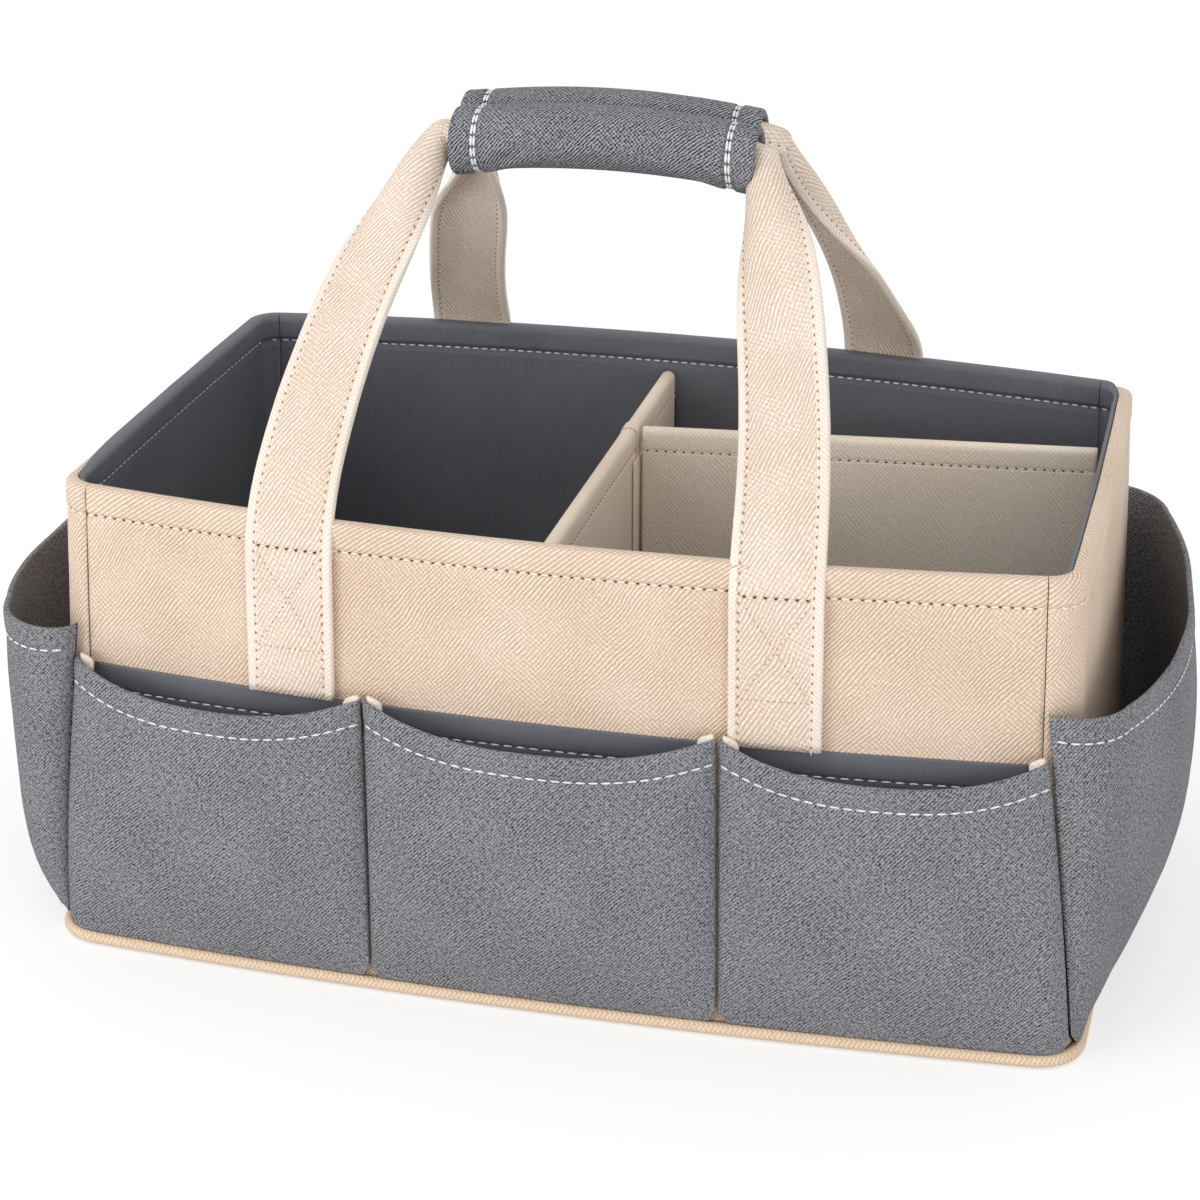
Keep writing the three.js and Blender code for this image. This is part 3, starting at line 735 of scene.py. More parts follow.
# %% Base piping
piping_radius = 2.3 * mm
piping_units = units_between(0, 4, 3 * mm)[:-1]
around = 16
turns = np.linspace(0, 2 * math.pi, around + 1)[:-1]
unit, turn = np.meshgrid(piping_units, turns, indexing="ij")
piping_centre = 0.3 * mm + piping_radius
piping_places = on_wall(
    unit,
    piping_centre + piping_radius * np.sin(turn),
    piping_centre + piping_radius * np.cos(turn),
)
piping_along = cloth_lengths(piping_places[:, 0], closed=True)
piping_round = np.linspace(0, 2 * math.pi * piping_radius, around + 1)
piping_cloth = np.stack(np.meshgrid(piping_along, piping_round, indexing="ij"), -1)
piping = shell("base_piping_cord", piping_places, piping_cloth, ring=True)
print("piping", round(piping_along[-1], 3), "m long")

# %% [markdown]
# ## Pockets
#
# The canvas pockets stand off the wall like shallow pillows: fixed at their foot and side
# seams, fullest in the middle, with a lip that dips. The lip is a soft roll above a sewn
# line. Each pocket is a shell whose section is drawn afresh at every column, because its
# height and fullness change along it.

# %% Pockets
pocket_foot = 5.2 * mm
side_corner = 123 * mm
canvas = 1.6 * mm
side_shape = {
    "corner": side_corner, "dip": 10.5 * mm, "sag": 2.4, "round_lip": 4.5 * mm,
    "bulge": 10 * mm, "power": 2.8, "root": 0.62, "belly": 4,
}
right_shape = {
    "corner": 139 * mm, "dip": 9 * mm, "sag": 1.2, "round_lip": 1.5 * mm,
    "bulge": 31 * mm, "power": 2.2, "root": 0.85, "belly": 4,
}
left_shape = {
    "corner": 134 * mm, "dip": 2.5 * mm, "sag": 1.2, "round_lip": 1.5 * mm,
    "bulge": 34 * mm, "power": 2.8, "root": 0.5, "belly": 8,
}


def lip_height(pocket, s):
    """The lip sags between its ends, and is rounded over at the ends themselves."""
    width = pocket["end"] - pocket["start"]
    off_end = np.hypot(np.minimum(s, 1 - s) * width, pocket["round_lip"])
    share = np.abs(1 - 2 * off_end / width)
    return pocket["corner"] - pocket["dip"] * (1 - share ** pocket["sag"])


def pocket_edge(z, corner):
    """How far off the wall the canvas stands at its side seams."""
    return (1.6 + 2.6 * (z - pocket_foot) / (corner - pocket_foot)) * mm


def pocket_inner(pocket, s, z):
    """How far off the wall the inside of the canvas stands at share s and height z."""
    h = np.clip((z - pocket_foot) / (lip_height(pocket, s) - pocket_foot), 0, 1)
    full = np.maximum(0, 1 - np.abs(2 * s - 1) ** pocket["power"]) ** pocket["root"]
    belly = 1 - (1 - h) ** pocket["belly"]
    pull = 1 - pocket["pull"] * h**3
    return pocket_edge(z, pocket["corner"]) + pocket["bulge"] * full * belly * pull


def corner_turn(z):
    """How far a pocket's end seam reaches into the corner: least at the lip."""
    return (13 - 11 * (z - pocket_foot) / (side_corner - pocket_foot)) * mm


def pocket_unit(pocket, s, z):
    """The unit place of share s of a pocket at height z. Its ends are round at the foot."""
    turn = corner_turn(z)
    low = np.clip(pocket["round"] - (z - pocket_foot), 0, pocket["round"])
    inset = pocket["round"] - np.sqrt(np.maximum(0, pocket["round"] ** 2 - low**2))
    start = pocket["start"] + turn * pocket["start_turn"] + inset
    end = pocket["end"] + turn * pocket["end_turn"] - inset
    return unit_along(pocket["side"], start + (end - start) * s)


def pocket_section(pocket, s):
    """The closed section of the canvas at share s: up outside, over the lip, down inside."""
    top = float(lip_height(pocket, s))
    hem = top - 9 * mm

    def face(z, out):
        return float(pocket_inner(pocket, s, z)) + out, z

    outside = [(*face(z, canvas), 3 * mm) for z in np.linspace(pocket_foot, hem - 2 * mm, 22)]
    inside = [(*face(z, 0), 3 * mm) for z in np.linspace(pocket_foot, top - 2.5 * mm, 22)]
    lip = [
        (*face(hem - 0.3 * mm, canvas - 0.35 * mm), 0.7 * mm),
        (*face(hem + 1.6 * mm, canvas + 0.5 * mm), 1.5 * mm),
        (*face(hem + 5 * mm, canvas + 0.7 * mm), 3 * mm),
        (*face(top, canvas + 0.65 * mm), 1.6 * mm),
        (*face(top, 0), 1.1 * mm),
    ]
    return rounded_path(outside + lip + inside[::-1])


def pocket_shares(count):
    """Shares along a pocket, closer together at its ends, where the canvas turns in."""
    eased = np.sin(np.linspace(-1, 1, count) * math.pi / 2)
    return 0.5 + 0.5 * eased * (0.55 + 0.45 * np.abs(eased))


def canvas_relief(pocket, s, z, places, seed):
    """Shallow folds that start at the foot and side seams and fade out."""
    h = np.clip((z - pocket_foot) / (pocket["corner"] - pocket_foot), 0, 1)
    edge = np.minimum(s, 1 - s) * (pocket["end"] - pocket["start"])
    near_side = np.exp(-edge / (16 * mm))
    near_foot = np.exp(-h / 0.2)
    lift = np.zeros(s.shape)
    for index in np.ndindex(s.shape):
        x, y, up = places[index]
        wide = noise.noise(Vector((x * 28, y * 28, up * 20 + seed)))
        fold = noise.noise(Vector((s[index] * 22 + seed, h[index] * 3.5, seed)))
        lift[index] = wide + 0.9 * fold * (near_foot[index] + 0.7 * near_side[index])
    rest = np.clip(edge / (6 * mm), 0, 1) * np.clip(h / 0.06, 0, 1)
    return pocket["wrinkle"] * lift * rest


def make_pocket(pocket, seed):
    """The canvas of one pocket. The seed gives each pocket its own folds."""
    shares = pocket_shares(pocket["columns"])
    sections = np.array([pocket_section(pocket, s) for s in shares])
    offset, z = sections[..., 0], sections[..., 1]
    s = np.repeat(shares[:, None], z.shape[1], 1)
    unit = pocket_unit(pocket, s, z)
    flat = on_wall(unit, z, offset)
    offset = offset + canvas_relief(pocket, s, z, flat, seed)
    places = on_wall(unit, z, offset)
    middle = len(z[0]) // 3
    along = cloth_lengths(places[:, middle], closed=False)
    up = np.array([cloth_lengths(section) for section in sections])
    weave = np.stack((np.repeat(along[:, None], up.shape[1], 1), up), -1)
    return shell(pocket["name"] + "_canvas", places, weave)


sewn_gap, side_seam = 0.6 * mm, 62.8 * mm
side_spans = [
    (-seam_x, -side_seam, -1, 0), (-side_seam, side_seam, 0, 0), (side_seam, seam_x, 0, 1)
]
pockets = {}


def plan_pocket(name, shape, side, span, **more):
    """Notes a pocket's shape, where it starts and ends and which ends turn a corner."""
    start, end, start_turn, end_turn = span
    pockets[name] = {
        **shape,
        "name": name,
        "side": side,
        "start": start + sewn_gap,
        "end": end - sewn_gap,
        "start_turn": start_turn,
        "end_turn": end_turn,
        **more,
    }


small = {"round": 4.5 * mm, "pull": 0, "wrinkle": 0.45 * mm, "columns": 61}
for side, wall, order in ((FRONT, "front", 1), (BACK, "back", -1)):
    for span, place in zip(side_spans, ("left", "middle", "right")[::order]):
        plan_pocket(f"{wall}_pocket_{place}", side_shape, side, span, **small)
end_reach = rim_plan[1] + corner_length
large = {"round": 6 * mm, "wrinkle": 0.7 * mm, "columns": 101}
round_end = (-end_reach, end_reach, 1, -1)
plan_pocket("right_end_pocket", right_shape, RIGHT, round_end, pull=0.22, **large)
plan_pocket("left_end_pocket", left_shape, LEFT, round_end, pull=0.1, **large)

canvases = {
    name: make_pocket(pocket, seed) for seed, (name, pocket) in enumerate(pockets.items())
}
print(len(canvases), "pockets,", count_faces(canvases), "faces")

# %% [markdown]
# ## Backings and gussets
#
# Behind each scooped lip a grey backing shows, a narrow sheet with its own hem. At both side
# seams of a pocket a leatherette strip is folded in, and its top end shows as a small round
# ear. Both are shells like the others: the backing has one section all along, and the strip
# has nine columns whose tops follow a quarter circle.

# %% Backings
backing_hem = [
    (1.2, 106.4, 0.6), (0.95, 107.6, 0.4), (1.35, 109, 0.8), (1.35, 117.5, 0.5), (0.3, 117.5, 0.3)
]
backing_section = section_mm(
    [(1.2, 5.2, 0.3)]
    + [(1.2, z, 0) for z in np.linspace(12, 100, 12)]
    + backing_hem
    + [(0.3, z, 0) for z in np.linspace(100, 12, 12)]
    + [(0.3, 5.2, 0.2)]
)
side_pockets = {name: pocket for name, pocket in pockets.items() if "end" not in name}
backings = {}
for name, pocket in side_pockets.items():
    first = unit_along(pocket["side"], pocket["start"] + 2 * mm)
    last = unit_along(pocket["side"], pocket["end"] - 2 * mm)
    backing = name.replace("pocket", "backing")
    units = units_between(first, last, 4 * mm)
    backings[backing] = wall_shell(backing + "_cloth", units, all_along(units, backing_section))
print(len(backings), "backings,", count_faces(backings), "faces")

# %% Gussets
gusset_columns, gusset_thick = 9, 0.9 * mm


def gusset_column(pocket, letter, across):
    """One column of a folded strip: up its outer face and down its inner one."""
    inset = (0.9 + 5.6 * across) * mm
    share = inset / (pocket["end"] - pocket["start"])
    top = lip_height(pocket, share) + (2.0 * math.sqrt(1 - across**2) - 0.6) * mm
    z = np.linspace(12 * mm, top, 24)
    length = pocket["start"] + inset if letter == "a" else pocket["end"] - inset
    turn = corner_turn(z) * pocket["start_turn" if letter == "a" else "end_turn"]
    unit = unit_along(pocket["side"], length + turn)
    out = np.minimum(pocket_inner(pocket, share, np.minimum(z, 112 * mm)), 6 * mm) - 0.5 * mm
    return np.concatenate((on_wall(unit, z, out), on_wall(unit, z, out - gusset_thick)[::-1]))


gussets = {}
for name, pocket in side_pockets.items():
    for letter in "ab":
        gusset = name.replace("pocket", "gusset") + "_" + letter
        steps = np.linspace(0, 1, gusset_columns)
        columns = np.array([gusset_column(pocket, letter, across) for across in steps])
        width = np.linspace(0, 5 * mm, gusset_columns)
        height = np.linspace(0, 0.23, columns.shape[1] + 1)
        weave = np.stack(np.meshgrid(width, height, indexing="ij"), -1)
        gussets[gusset] = shell(gusset + "_fold", columns, weave)
print(len(gussets), "gusset folds,", count_faces(gussets), "faces")

# %% [markdown]
# ## Handle straps
#
# Each handle is one long strap: sewn to the wall at both ends, over the rim, up to the grip
# and down the other side. It is flat on the wall and cupped into a gutter where it goes
# into the grip. The strap is a shell along a path of frames, and its section bends from
# flat to cupped. The path between rim and grip is a smooth curve with four knots, and each
# handle has its own lean, twist and folds, because soft straps never hang alike.

# %% Strap path
handle_shift, strap_centre = -4.4 * mm, 86 * mm
strap_width, strap_thickness = 33 * mm, 3 * mm
strap_middle, frames_in_grip = 2.2 * mm, 10
grip_half, grip_height, grip_droop, grip_y = 54 * mm, 303 * mm, 3.5 * mm, 12.1 * mm
front_fold = {-1: (0, 0.36, 0.94), 1: (0, 0.36, 0.94)}
strap_shapes = {
    "front": {
        "lean": -2.3 * mm, "rise": 0.478, "shoulder": 0.09, "crest": 0.998,
        "twist": {-1: 0.306, 1: 0.306},
        "inner": front_fold,
        "outer": front_fold,
    },
    "back": {
        "lean": 2.73 * mm, "rise": 0.433, "shoulder": -0.154, "crest": 0.92,
        "twist": {-1: -0.282, 1: -0.512},
        "inner": {-1: (0, 0.356, 0.958), 1: (0, 0.356, 0.958)},
        "outer": {-1: (0.279, 0.366, 0.718), 1: (0.18, 0.355, 0.702)},
    },
}


def grip_arch(x):
    """Height of the middle of a grip, which droops towards its ends."""
    return grip_height - grip_droop * ((x - handle_shift) / grip_half) ** 2


def unit_vector(v):
    """The same direction, one long."""
    return v / np.linalg.norm(v, axis=-1, keepdims=True)


def along_bezier(knots, share):
    """Points of the smooth curve that four knots give."""
    back = 1 - share
    weights = back**3, 3 * back**2 * share, 3 * back * share**2, share**3
    return sum(weight * knot for weight, knot in zip(weights, knots))


def strap_half(direction, handle):
    """Frames from the sewn foot of a strap to the middle of its grip, as at the front."""
    shape = strap_shapes[handle]
    unit = unit_along(FRONT, handle_shift + direction * strap_centre)
    heights = np.arange(118, 183.5, 3) * mm
    wall, wall_out = on_wall(unit, heights, strap_middle), wall_normal(unit, heights)
    rim = on_wall(unit, wall_height, strap_middle)
    mouth_x = handle_shift + direction * (grip_half + 5 * mm)
    mouth = np.array((mouth_x, -grip_y, grip_arch(mouth_x)))
    slope = np.array((0, mouth[1] - rim[1], mouth[2] - rim[2]))
    shoulder_x = mouth_x + (rim[0] - mouth_x) * shape["shoulder"]
    knot_x = rim[0], rim[0], shoulder_x, mouth_x
    rises = 0, shape["rise"], shape["crest"], 1
    knots = [np.array((x, *rim[1:])) + slope * rise for x, rise in zip(knot_x, rises)]
    share = np.linspace(0.03, 1, 44)[:, None]
    swing = np.sin(math.pi * share)
    curve = along_bezier(knots, share) + np.array((1, 0, 0)) * shape["lean"] * swing
    slope_out = unit_vector(np.array((0, -slope[2], slope[1])))
    facing = wall_out[-1] + (slope_out - wall_out[-1]) * np.minimum(1, share / 0.25)
    across = unit_vector(np.cross(np.gradient(curve, axis=0), facing)) * direction
    out = unit_vector(np.cross(across, np.gradient(curve, axis=0))) * direction
    turn = shape["twist"][direction] * swing * direction
    c, s = np.cos(turn), np.sin(turn)
    across, out = across * c + out * s, out * c - across * s
    folds = []
    for edge in ("inner", "outer"):
        early, start, stop = shape[edge][direction]
        late = smooth(start, stop, share[:, 0])
        fold = early * smooth(0, 0.25, share[:, 0]) + (1 - early) * late
        folds.append(np.concatenate((0 * heights, fold, np.ones(frames_in_grip))))
    inside_x = handle_shift + direction * np.linspace(0.97, 0.05, frames_in_grip) * grip_half
    inside = np.stack((inside_x, np.full(frames_in_grip, -grip_y), grip_arch(inside_x)), -1)
    wall_across = np.stack((-wall_out[:, 1], wall_out[:, 0], 0 * heights), -1) * direction
    return (
        np.concatenate((wall, curve, inside)),
        np.concatenate((wall_across, across, all_along(inside_x, unit_vector(slope)))),
        np.concatenate((wall_out, out, all_along(inside_x, slope_out))),
        *folds,
    )


def eased(values, start, stop, passes):
    """Averages neighbouring frames between start and stop, so that the path has no kink."""
    values = values.copy()
    for _ in range(passes):
        middle = (values[:-2] + 2 * values[1:-1] + values[2:]) / 4
        values[start:stop] = middle[start - 1 : stop - 1]
    return values


def strap_frames(handle):
    """Middles, directions and the folds of both edges of a whole strap, from end to end."""
    right, left = strap_half(1, handle), strap_half(-1, handle)
    middles, across, out, inner, outer = (
        np.concatenate((one, two[::-1])) for one, two in zip(right, left)
    )
    count = len(middles)
    for start, stop in ((18, 30), (count - 30, count - 18)):
        middles = eased(middles, start, stop, 8)
        across = unit_vector(eased(across, start, stop, 8))
        out = unit_vector(eased(out, start, stop, 8))
    length = cloth_lengths(middles, closed=False)[-1]
    print(handle, "strap,", count, "frames,", round(length, 3), "m long")
    return middles, across, out, inner, outer


strap_paths = {handle: strap_frames(handle) for handle in ("front", "back")}

# %% Strap shell
border = 3.6 * mm


def strap_section():
    """Outline of the flat strap: place across its cloth and height over its middle line."""
    half, thick = strap_width / 2, strap_thickness / 2
    groove = half - border
    left = [
        (-half, thick, 1.1 * mm),
        (-groove - 0.9 * mm, thick, 0.5 * mm),
        (-groove, thick - 0.4 * mm, 0.4 * mm),
        (-groove + 1.0 * mm, thick - 0.1 * mm, 0.5 * mm),
    ]
    face = left + [(-x, y, r) for x, y, r in left[::-1]]
    back = [(-x, -y, r) for x, y, r in face]
    return rounded_path(face + back, 2.5 * mm, steps=3)


strap_outline = strap_section()
cup_angle, cup_narrows = 2.7, 0.2


def cup(fold):
    """Half angle and radius of the curve that a fold from 0 to 1 gives the strap."""
    angle = np.maximum(cup_angle * fold, 1e-4)
    return angle, strap_width * (1 - cup_narrows * fold) / (2 * angle)


def strap_points(handle, a, b):
    """Places of outline points (a across, b out) at every frame, each edge bent by its fold."""
    middles, across, out, inner, outer = strap_paths[handle]
    angle, radius = cup(np.where(a > 0, outer[:, None], inner[:, None]))
    even_angle, even_radius = cup((inner + outer)[:, None] / 2)
    depth = even_radius * (1 - np.cos(even_angle))
    turn = 2 * angle * a / strap_width
    x = (radius + b) * np.sin(turn)
    y = (radius + b) * np.cos(turn) - radius + depth / 2
    return middles[:, None] + across[:, None] * x[..., None] + out[:, None] * y[..., None]


mirror_y = np.array((1, -1, 1))
sides = {"front": np.array((1, 1, 1)), "back": mirror_y}
straps = {}
for handle, flip in sides.items():
    places = strap_points(handle, strap_outline[:, 0], strap_outline[:, 1])
    along = cloth_lengths(strap_paths[handle][0], closed=False)
    weave = np.stack(np.meshgrid(along, cloth_lengths(strap_outline), indexing="ij"), -1)
    straps[handle] = shell(f"{handle}_strap", places * flip, weave)
print(len(straps), "straps,", count_faces(straps), "faces")

# %% [markdown]
# ## Grips
#
# Each grip is a padded canvas sleeve, sewn round near both ends. A plain tube looks turned
# on a lathe. Blender's cloth can do what the padding does: the sleeve is pinned where it is
# sewn and along its bore, its skin is given a little spare cloth, and a pressure inside
# pushes it out for a few frames. The move is capped, so the sleeve keeps its size. Only the
# front sleeve is puffed. It is pressed flat where the two touch, and the back one is a copy
# of it, turned half round.

# %% Padding
puffing_frames = 18


def padding(piece, sewn, spare, pressure, cap):
    """Swells a shell as stuffing does. sewn says which points stay, from 0 to 1."""
    rest = np.array([v.co for v in piece.data.vertices])
    group = piece.vertex_groups.new(name="sewn")
    for index, hold in enumerate(sewn):
        group.add([index], float(hold), "REPLACE")
    cloth = piece.modifiers.new("padding", "CLOTH")
    cloth.settings.vertex_group_mass = "sewn"
    cloth.settings.use_pressure = True
    cloth.settings.uniform_pressure_force = pressure
    cloth.settings.shrink_min = -spare
    cloth.settings.quality = 8
    cloth.settings.mass = 0.2
    cloth.settings.bending_stiffness = 0.8
    cloth.settings.effector_weights.gravity = 0
    cloth.point_cache.frame_end = puffing_frames
    scene = bpy.context.scene
    for frame_number in range(1, puffing_frames + 1):
        scene.frame_set(frame_number)
    swollen = piece.evaluated_get(bpy.context.evaluated_depsgraph_get())
    move = np.array([v.co for v in swollen.data.vertices]) - rest
    length = np.linalg.norm(move, axis=1, keepdims=True)
    move = move * (cap * np.tanh(length / cap) / np.maximum(length, 1e-9))
    piece.modifiers.remove(cloth)
    piece.vertex_groups.remove(group)
    scene.frame_set(1)
    piece.data.vertices.foreach_set("co", (rest + move).ravel())
    piece.data.update()
    print(piece.name, "swelled by up to", round(float(length.max()) / mm, 2), "mm")


# %% Grip sleeves
sleeve_half, sleeve_radius, sleeve_sag = 56.5 * mm, 12.0 * mm, 1.8 * mm
sleeve_stitch = sleeve_half - 9.5 * mm
sleeve_slide = {"front": 1.6 * mm, "back": -1.8 * mm}
sleeve_sides = 72


def sleeve_section():
    """The sleeve's section in (along, off its middle), pulled in at both sewn rings."""
    s, h = sleeve_stitch / mm, sleeve_half / mm
    right = [
        (s - 2.6, 12.0, 1.5),
        (s, 10.9, 1.0),
        (s + 2.2, 12.0, 1.5),
        (h, 12.3, 2.2),
        (h, 9.2, 1.1),
        (0, 9.4, 0),
    ]
    left = [(-x, r, k) for x, r, k in right[-2::-1]]
    corners = [(0, 11.8, 0), *right, *left]
    return rounded_path([(x * mm, r * mm, k * mm) for x, r, k in corners], 1.9 * mm)


sleeve = sleeve_section()
sleeve_turns = np.linspace(0, 2 * math.pi, sleeve_sides + 1)[:-1]
turn, row = np.meshgrid(sleeve_turns, np.arange(len(sleeve)), indexing="ij")
sleeve_x, sleeve_r = handle_shift + sleeve[row, 0], sleeve[row, 1]


def sleeve_point(x, radius, turn):
    """A point of the front sleeve: along it, off its middle and round it from the front."""
    middle_z = grip_arch(x) - sleeve_sag
    return np.stack((x, -grip_y - radius * np.cos(turn), middle_z + radius * np.sin(turn)), -1)


sleeve_places = sleeve_point(sleeve_x, sleeve_r, turn)
sleeve_round = np.linspace(0, 2 * math.pi * sleeve_radius, sleeve_sides + 1)
sleeve_weave = np.stack(np.meshgrid(sleeve_round, cloth_lengths(sleeve), indexing="ij"), -1)
sleeve_weave = sleeve_weave[..., ::-1]
front_grip = shell("front_grip_sleeve", sleeve_places, sleeve_weave, ring=True)
spots = np.array([v.co for v in front_grip.data.vertices])
x = np.abs(spots[:, 0] - handle_shift)
off_middle = np.hypot(spots[:, 1] + grip_y, spots[:, 2] - grip_arch(spots[:, 0]) + sleeve_sag)
at_stitch = 1 - smooth(0.5 * mm, 2.0 * mm, np.abs(x - sleeve_stitch))
at_mouth = smooth(sleeve_half - 2.0 * mm, sleeve_half - 0.5 * mm, x)
sewn = np.maximum.reduce((off_middle < 10.2 * mm, at_stitch, at_mouth))
padding(front_grip, sewn, spare=0.05, pressure=0.6, cap=1.0 * mm)

half_gap = 0.2 * mm
bm = bmesh.new()
bm.from_mesh(front_grip.data)
touching = [v for v in bm.verts if v.co.y > -half_gap]
for v in touching:
    v.co.y = -half_gap
bmesh.ops.translate(bm, vec=(sleeve_slide["front"], 0, 0), verts=bm.verts)
bm.to_mesh(front_grip.data)
front_x = handle_shift + sleeve_slide["front"]
back_x = handle_shift + sleeve_slide["back"]
half_turn = Matrix.Translation((back_x, 0, 0)) @ Matrix.Rotation(math.pi, 4, "Z")
half_turn = half_turn @ Matrix.Translation((-front_x, 0, 0))
bmesh.ops.transform(bm, matrix=half_turn, verts=bm.verts)
grips = {"front": front_grip, "back": piece_from(bm, "back_grip_sleeve")}
print(len(touching), "points pressed flat where the grips touch")

# %% [markdown]
# ## Dividers
#
# Each divider is a thin pad: a board in leatherette, with a folded and sewn top. One section
# with a groove below the fold does for both, drawn along a straight line and then set in
# place. Both ends are drawn in a little, so that they look stuffed and not sawn off. A
# narrow band is folded over the long divider, where the short one is sewn to it.

# %% Dividers
divider_half = 3 * mm
long_low, long_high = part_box("long_divider_cover")
divider_x = (long_low.x + long_high.x) / 2


def divider_pad(name, length, place):
    """A pad of that length along x from zero, 6 mm thick, with a folded and sewn top."""
    half = divider_half / mm
    groove = [(half, 162, 1.0), (half - 0.35, 163, 0.5), (half, 164.2, 1.0)]
    side = [(half, 6.5, 1.0), *groove, (half, 172, 2.9)]
    corners = side + [(-x, z, r) for x, z, r in side[::-1]]
    section = rounded_path([(x * mm, z * mm, r * mm) for x, z, r in corners], 5 * mm)
    count = max(2, round(length / (4 * mm)))
    near_end = np.array((0, 0.5, 1.5)) * mm
    between = np.linspace(3 * mm, length - 3 * mm, count)
    x = np.concatenate((near_end, between, length - near_end[::-1]))
    draw = np.ones(len(x))
    draw[[0, -1]], draw[[1, -2]] = 0.75, 0.93
    column, row = np.meshgrid(np.arange(len(x)), np.arange(len(section)), indexing="ij")
    places = np.stack((x[column], section[row, 0] * draw[column], section[row, 1]), -1)
    weave = np.stack(np.meshgrid(x, cloth_lengths(section), indexing="ij"), -1)
    turned = np.array([[tuple(place @ Vector(p)) for p in line] for line in places])
    return shell(name, turned, weave)


long_place = Matrix.Translation((divider_x, long_low.y, 0)) @ Matrix.Rotation(math.pi / 2, 4, "Z")
long_pad = divider_pad("long_divider_pad", long_high.y - long_low.y, long_place)
short_turn = math.radians(6.4)
pivot = Vector((-0.9 * mm, 42 * mm, 0))
end_face = on_wall(RIGHT + side_part / 2, wall_height, -7.0 * mm)[0]
short_length = end_face - 1 * mm - pivot.x - 1.3 * mm
band_half = 3.5 * mm
short_place = Matrix.Translation(pivot) @ Matrix.Rotation(short_turn, 4, "Z")
short_pad = divider_pad("short_divider_pad", short_length, short_place)


def junction_fold():
    """A narrow band over the top of the long divider, where the short one is sewn on."""
    half = divider_half / mm + 0.45
    under = half - 0.4
    corners = [(half, 150, 0.3), (half, 172.45, 3.1), (-half, 172.45, 3.1), (-half, 160, 0.3)]
    inner = [(-under, 160, 0.1), (-under, 172.05, 2.8), (under, 172.05, 2.8), (under, 150, 0.1)]
    section = rounded_path([(x * mm, z * mm, r * mm) for x, z, r in corners + inner], 2 * mm)
    y = pivot.y + np.linspace(-band_half, band_half, 9)
    column, row = np.meshgrid(np.arange(len(y)), np.arange(len(section)), indexing="ij")
    places = np.stack((divider_x + section[row, 0], y[column], section[row, 1]), -1)
    weave = np.stack(np.meshgrid(y, cloth_lengths(section), indexing="ij"), -1)
    return shell("junction_fold", places, weave)


junction = junction_fold()
print("dividers", round(long_high.y - long_low.y, 3), "and", round(short_length, 3), "m long")

# %% [markdown]
# ## Thread and needle holes
#
# Every seam shows its thread: white dashes on the canvas and the lining, and on the
# leatherette a dark hole between pale dashes. There are thousands, so each is one small
# ball of a few dozen faces, drawn out along the seam and pressed flat. Doubling one ball ten
# times makes the string that every row takes its balls from. A row follows a line of points
# with the cloth's normals, and all the dashes of one row are one piece.

# %% Rows of stitches
def string_of_beads():
    """Small balls in a line, two units apart, doubled from a single one."""
    bm = bmesh.new()
    bmesh.ops.create_uvsphere(bm, u_segments=6, v_segments=5, radius=0.5)
    reach = 2
    while reach < 1024:
        made = bmesh.ops.duplicate(bm, geom=bm.verts[:] + bm.edges[:] + bm.faces[:])
        copies = [part for part in made["geom"] if isinstance(part, bmesh.types.BMVert)]
        bmesh.ops.translate(bm, vec=(reach, 0, 0), verts=copies)
        reach *= 2
    for face in bm.faces:
        face.smooth = True
    return bm


beads = string_of_beads()


def stitch_row(name, places, normals, pitch, dash, width, sink=0.5, start=0.5):
    """Dashes along a line, with pitch, length and width in millimetres. sink is the share
    of a dash's thickness that lies below the line, and start is where the first one sits."""
    pitch, dash, width = pitch * mm, dash * mm, width * mm
    along = cloth_lengths(places, closed=False)
    count = max(1, round(along[-1] / pitch))
    spots = (np.arange(count) + start) * along[-1] / count
    thick = width * 0.7

    def at(length, values):
        return np.stack([np.interp(length, along, values[:, axis]) for axis in range(3)], -1)

    tangent = unit_vector(at(spots + dash / 2, places) - at(spots - dash / 2, places))
    side = unit_vector(np.cross(tangent, at(spots, normals)))
    out = np.cross(side, tangent)
    middle = at(spots, places) + out * thick * (0.5 - sink)
    bm = beads.copy()
    spare = [v for v in bm.verts if v.co.x > 2 * count - 1]
    bmesh.ops.delete(bm, geom=spare, context="VERTS")
    row = piece_from(bm, name)
    local = np.array([v.co for v in row.data.vertices])
    bead = np.round(local[:, 0] / 2).astype(int)
    local[:, 0] -= 2 * bead
    shaped = local * np.array((width, thick, dash))
    axes = side, out, tangent
    around = sum(shaped[:, i, None] * axis[bead] for i, axis in enumerate(axes))
    row.data.vertices.foreach_set("co", (middle[bead] + around).ravel())
    row.data.update()
    return row


def join_rows(name, rows):
    """One piece from several rows of stitches."""
    bm = bmesh.new()
    for row in rows:
        bm.from_mesh(row.data)
        mesh = row.data
        bpy.data.objects.remove(row)
        bpy.data.meshes.remove(mesh)
    return piece_from(bm, name)


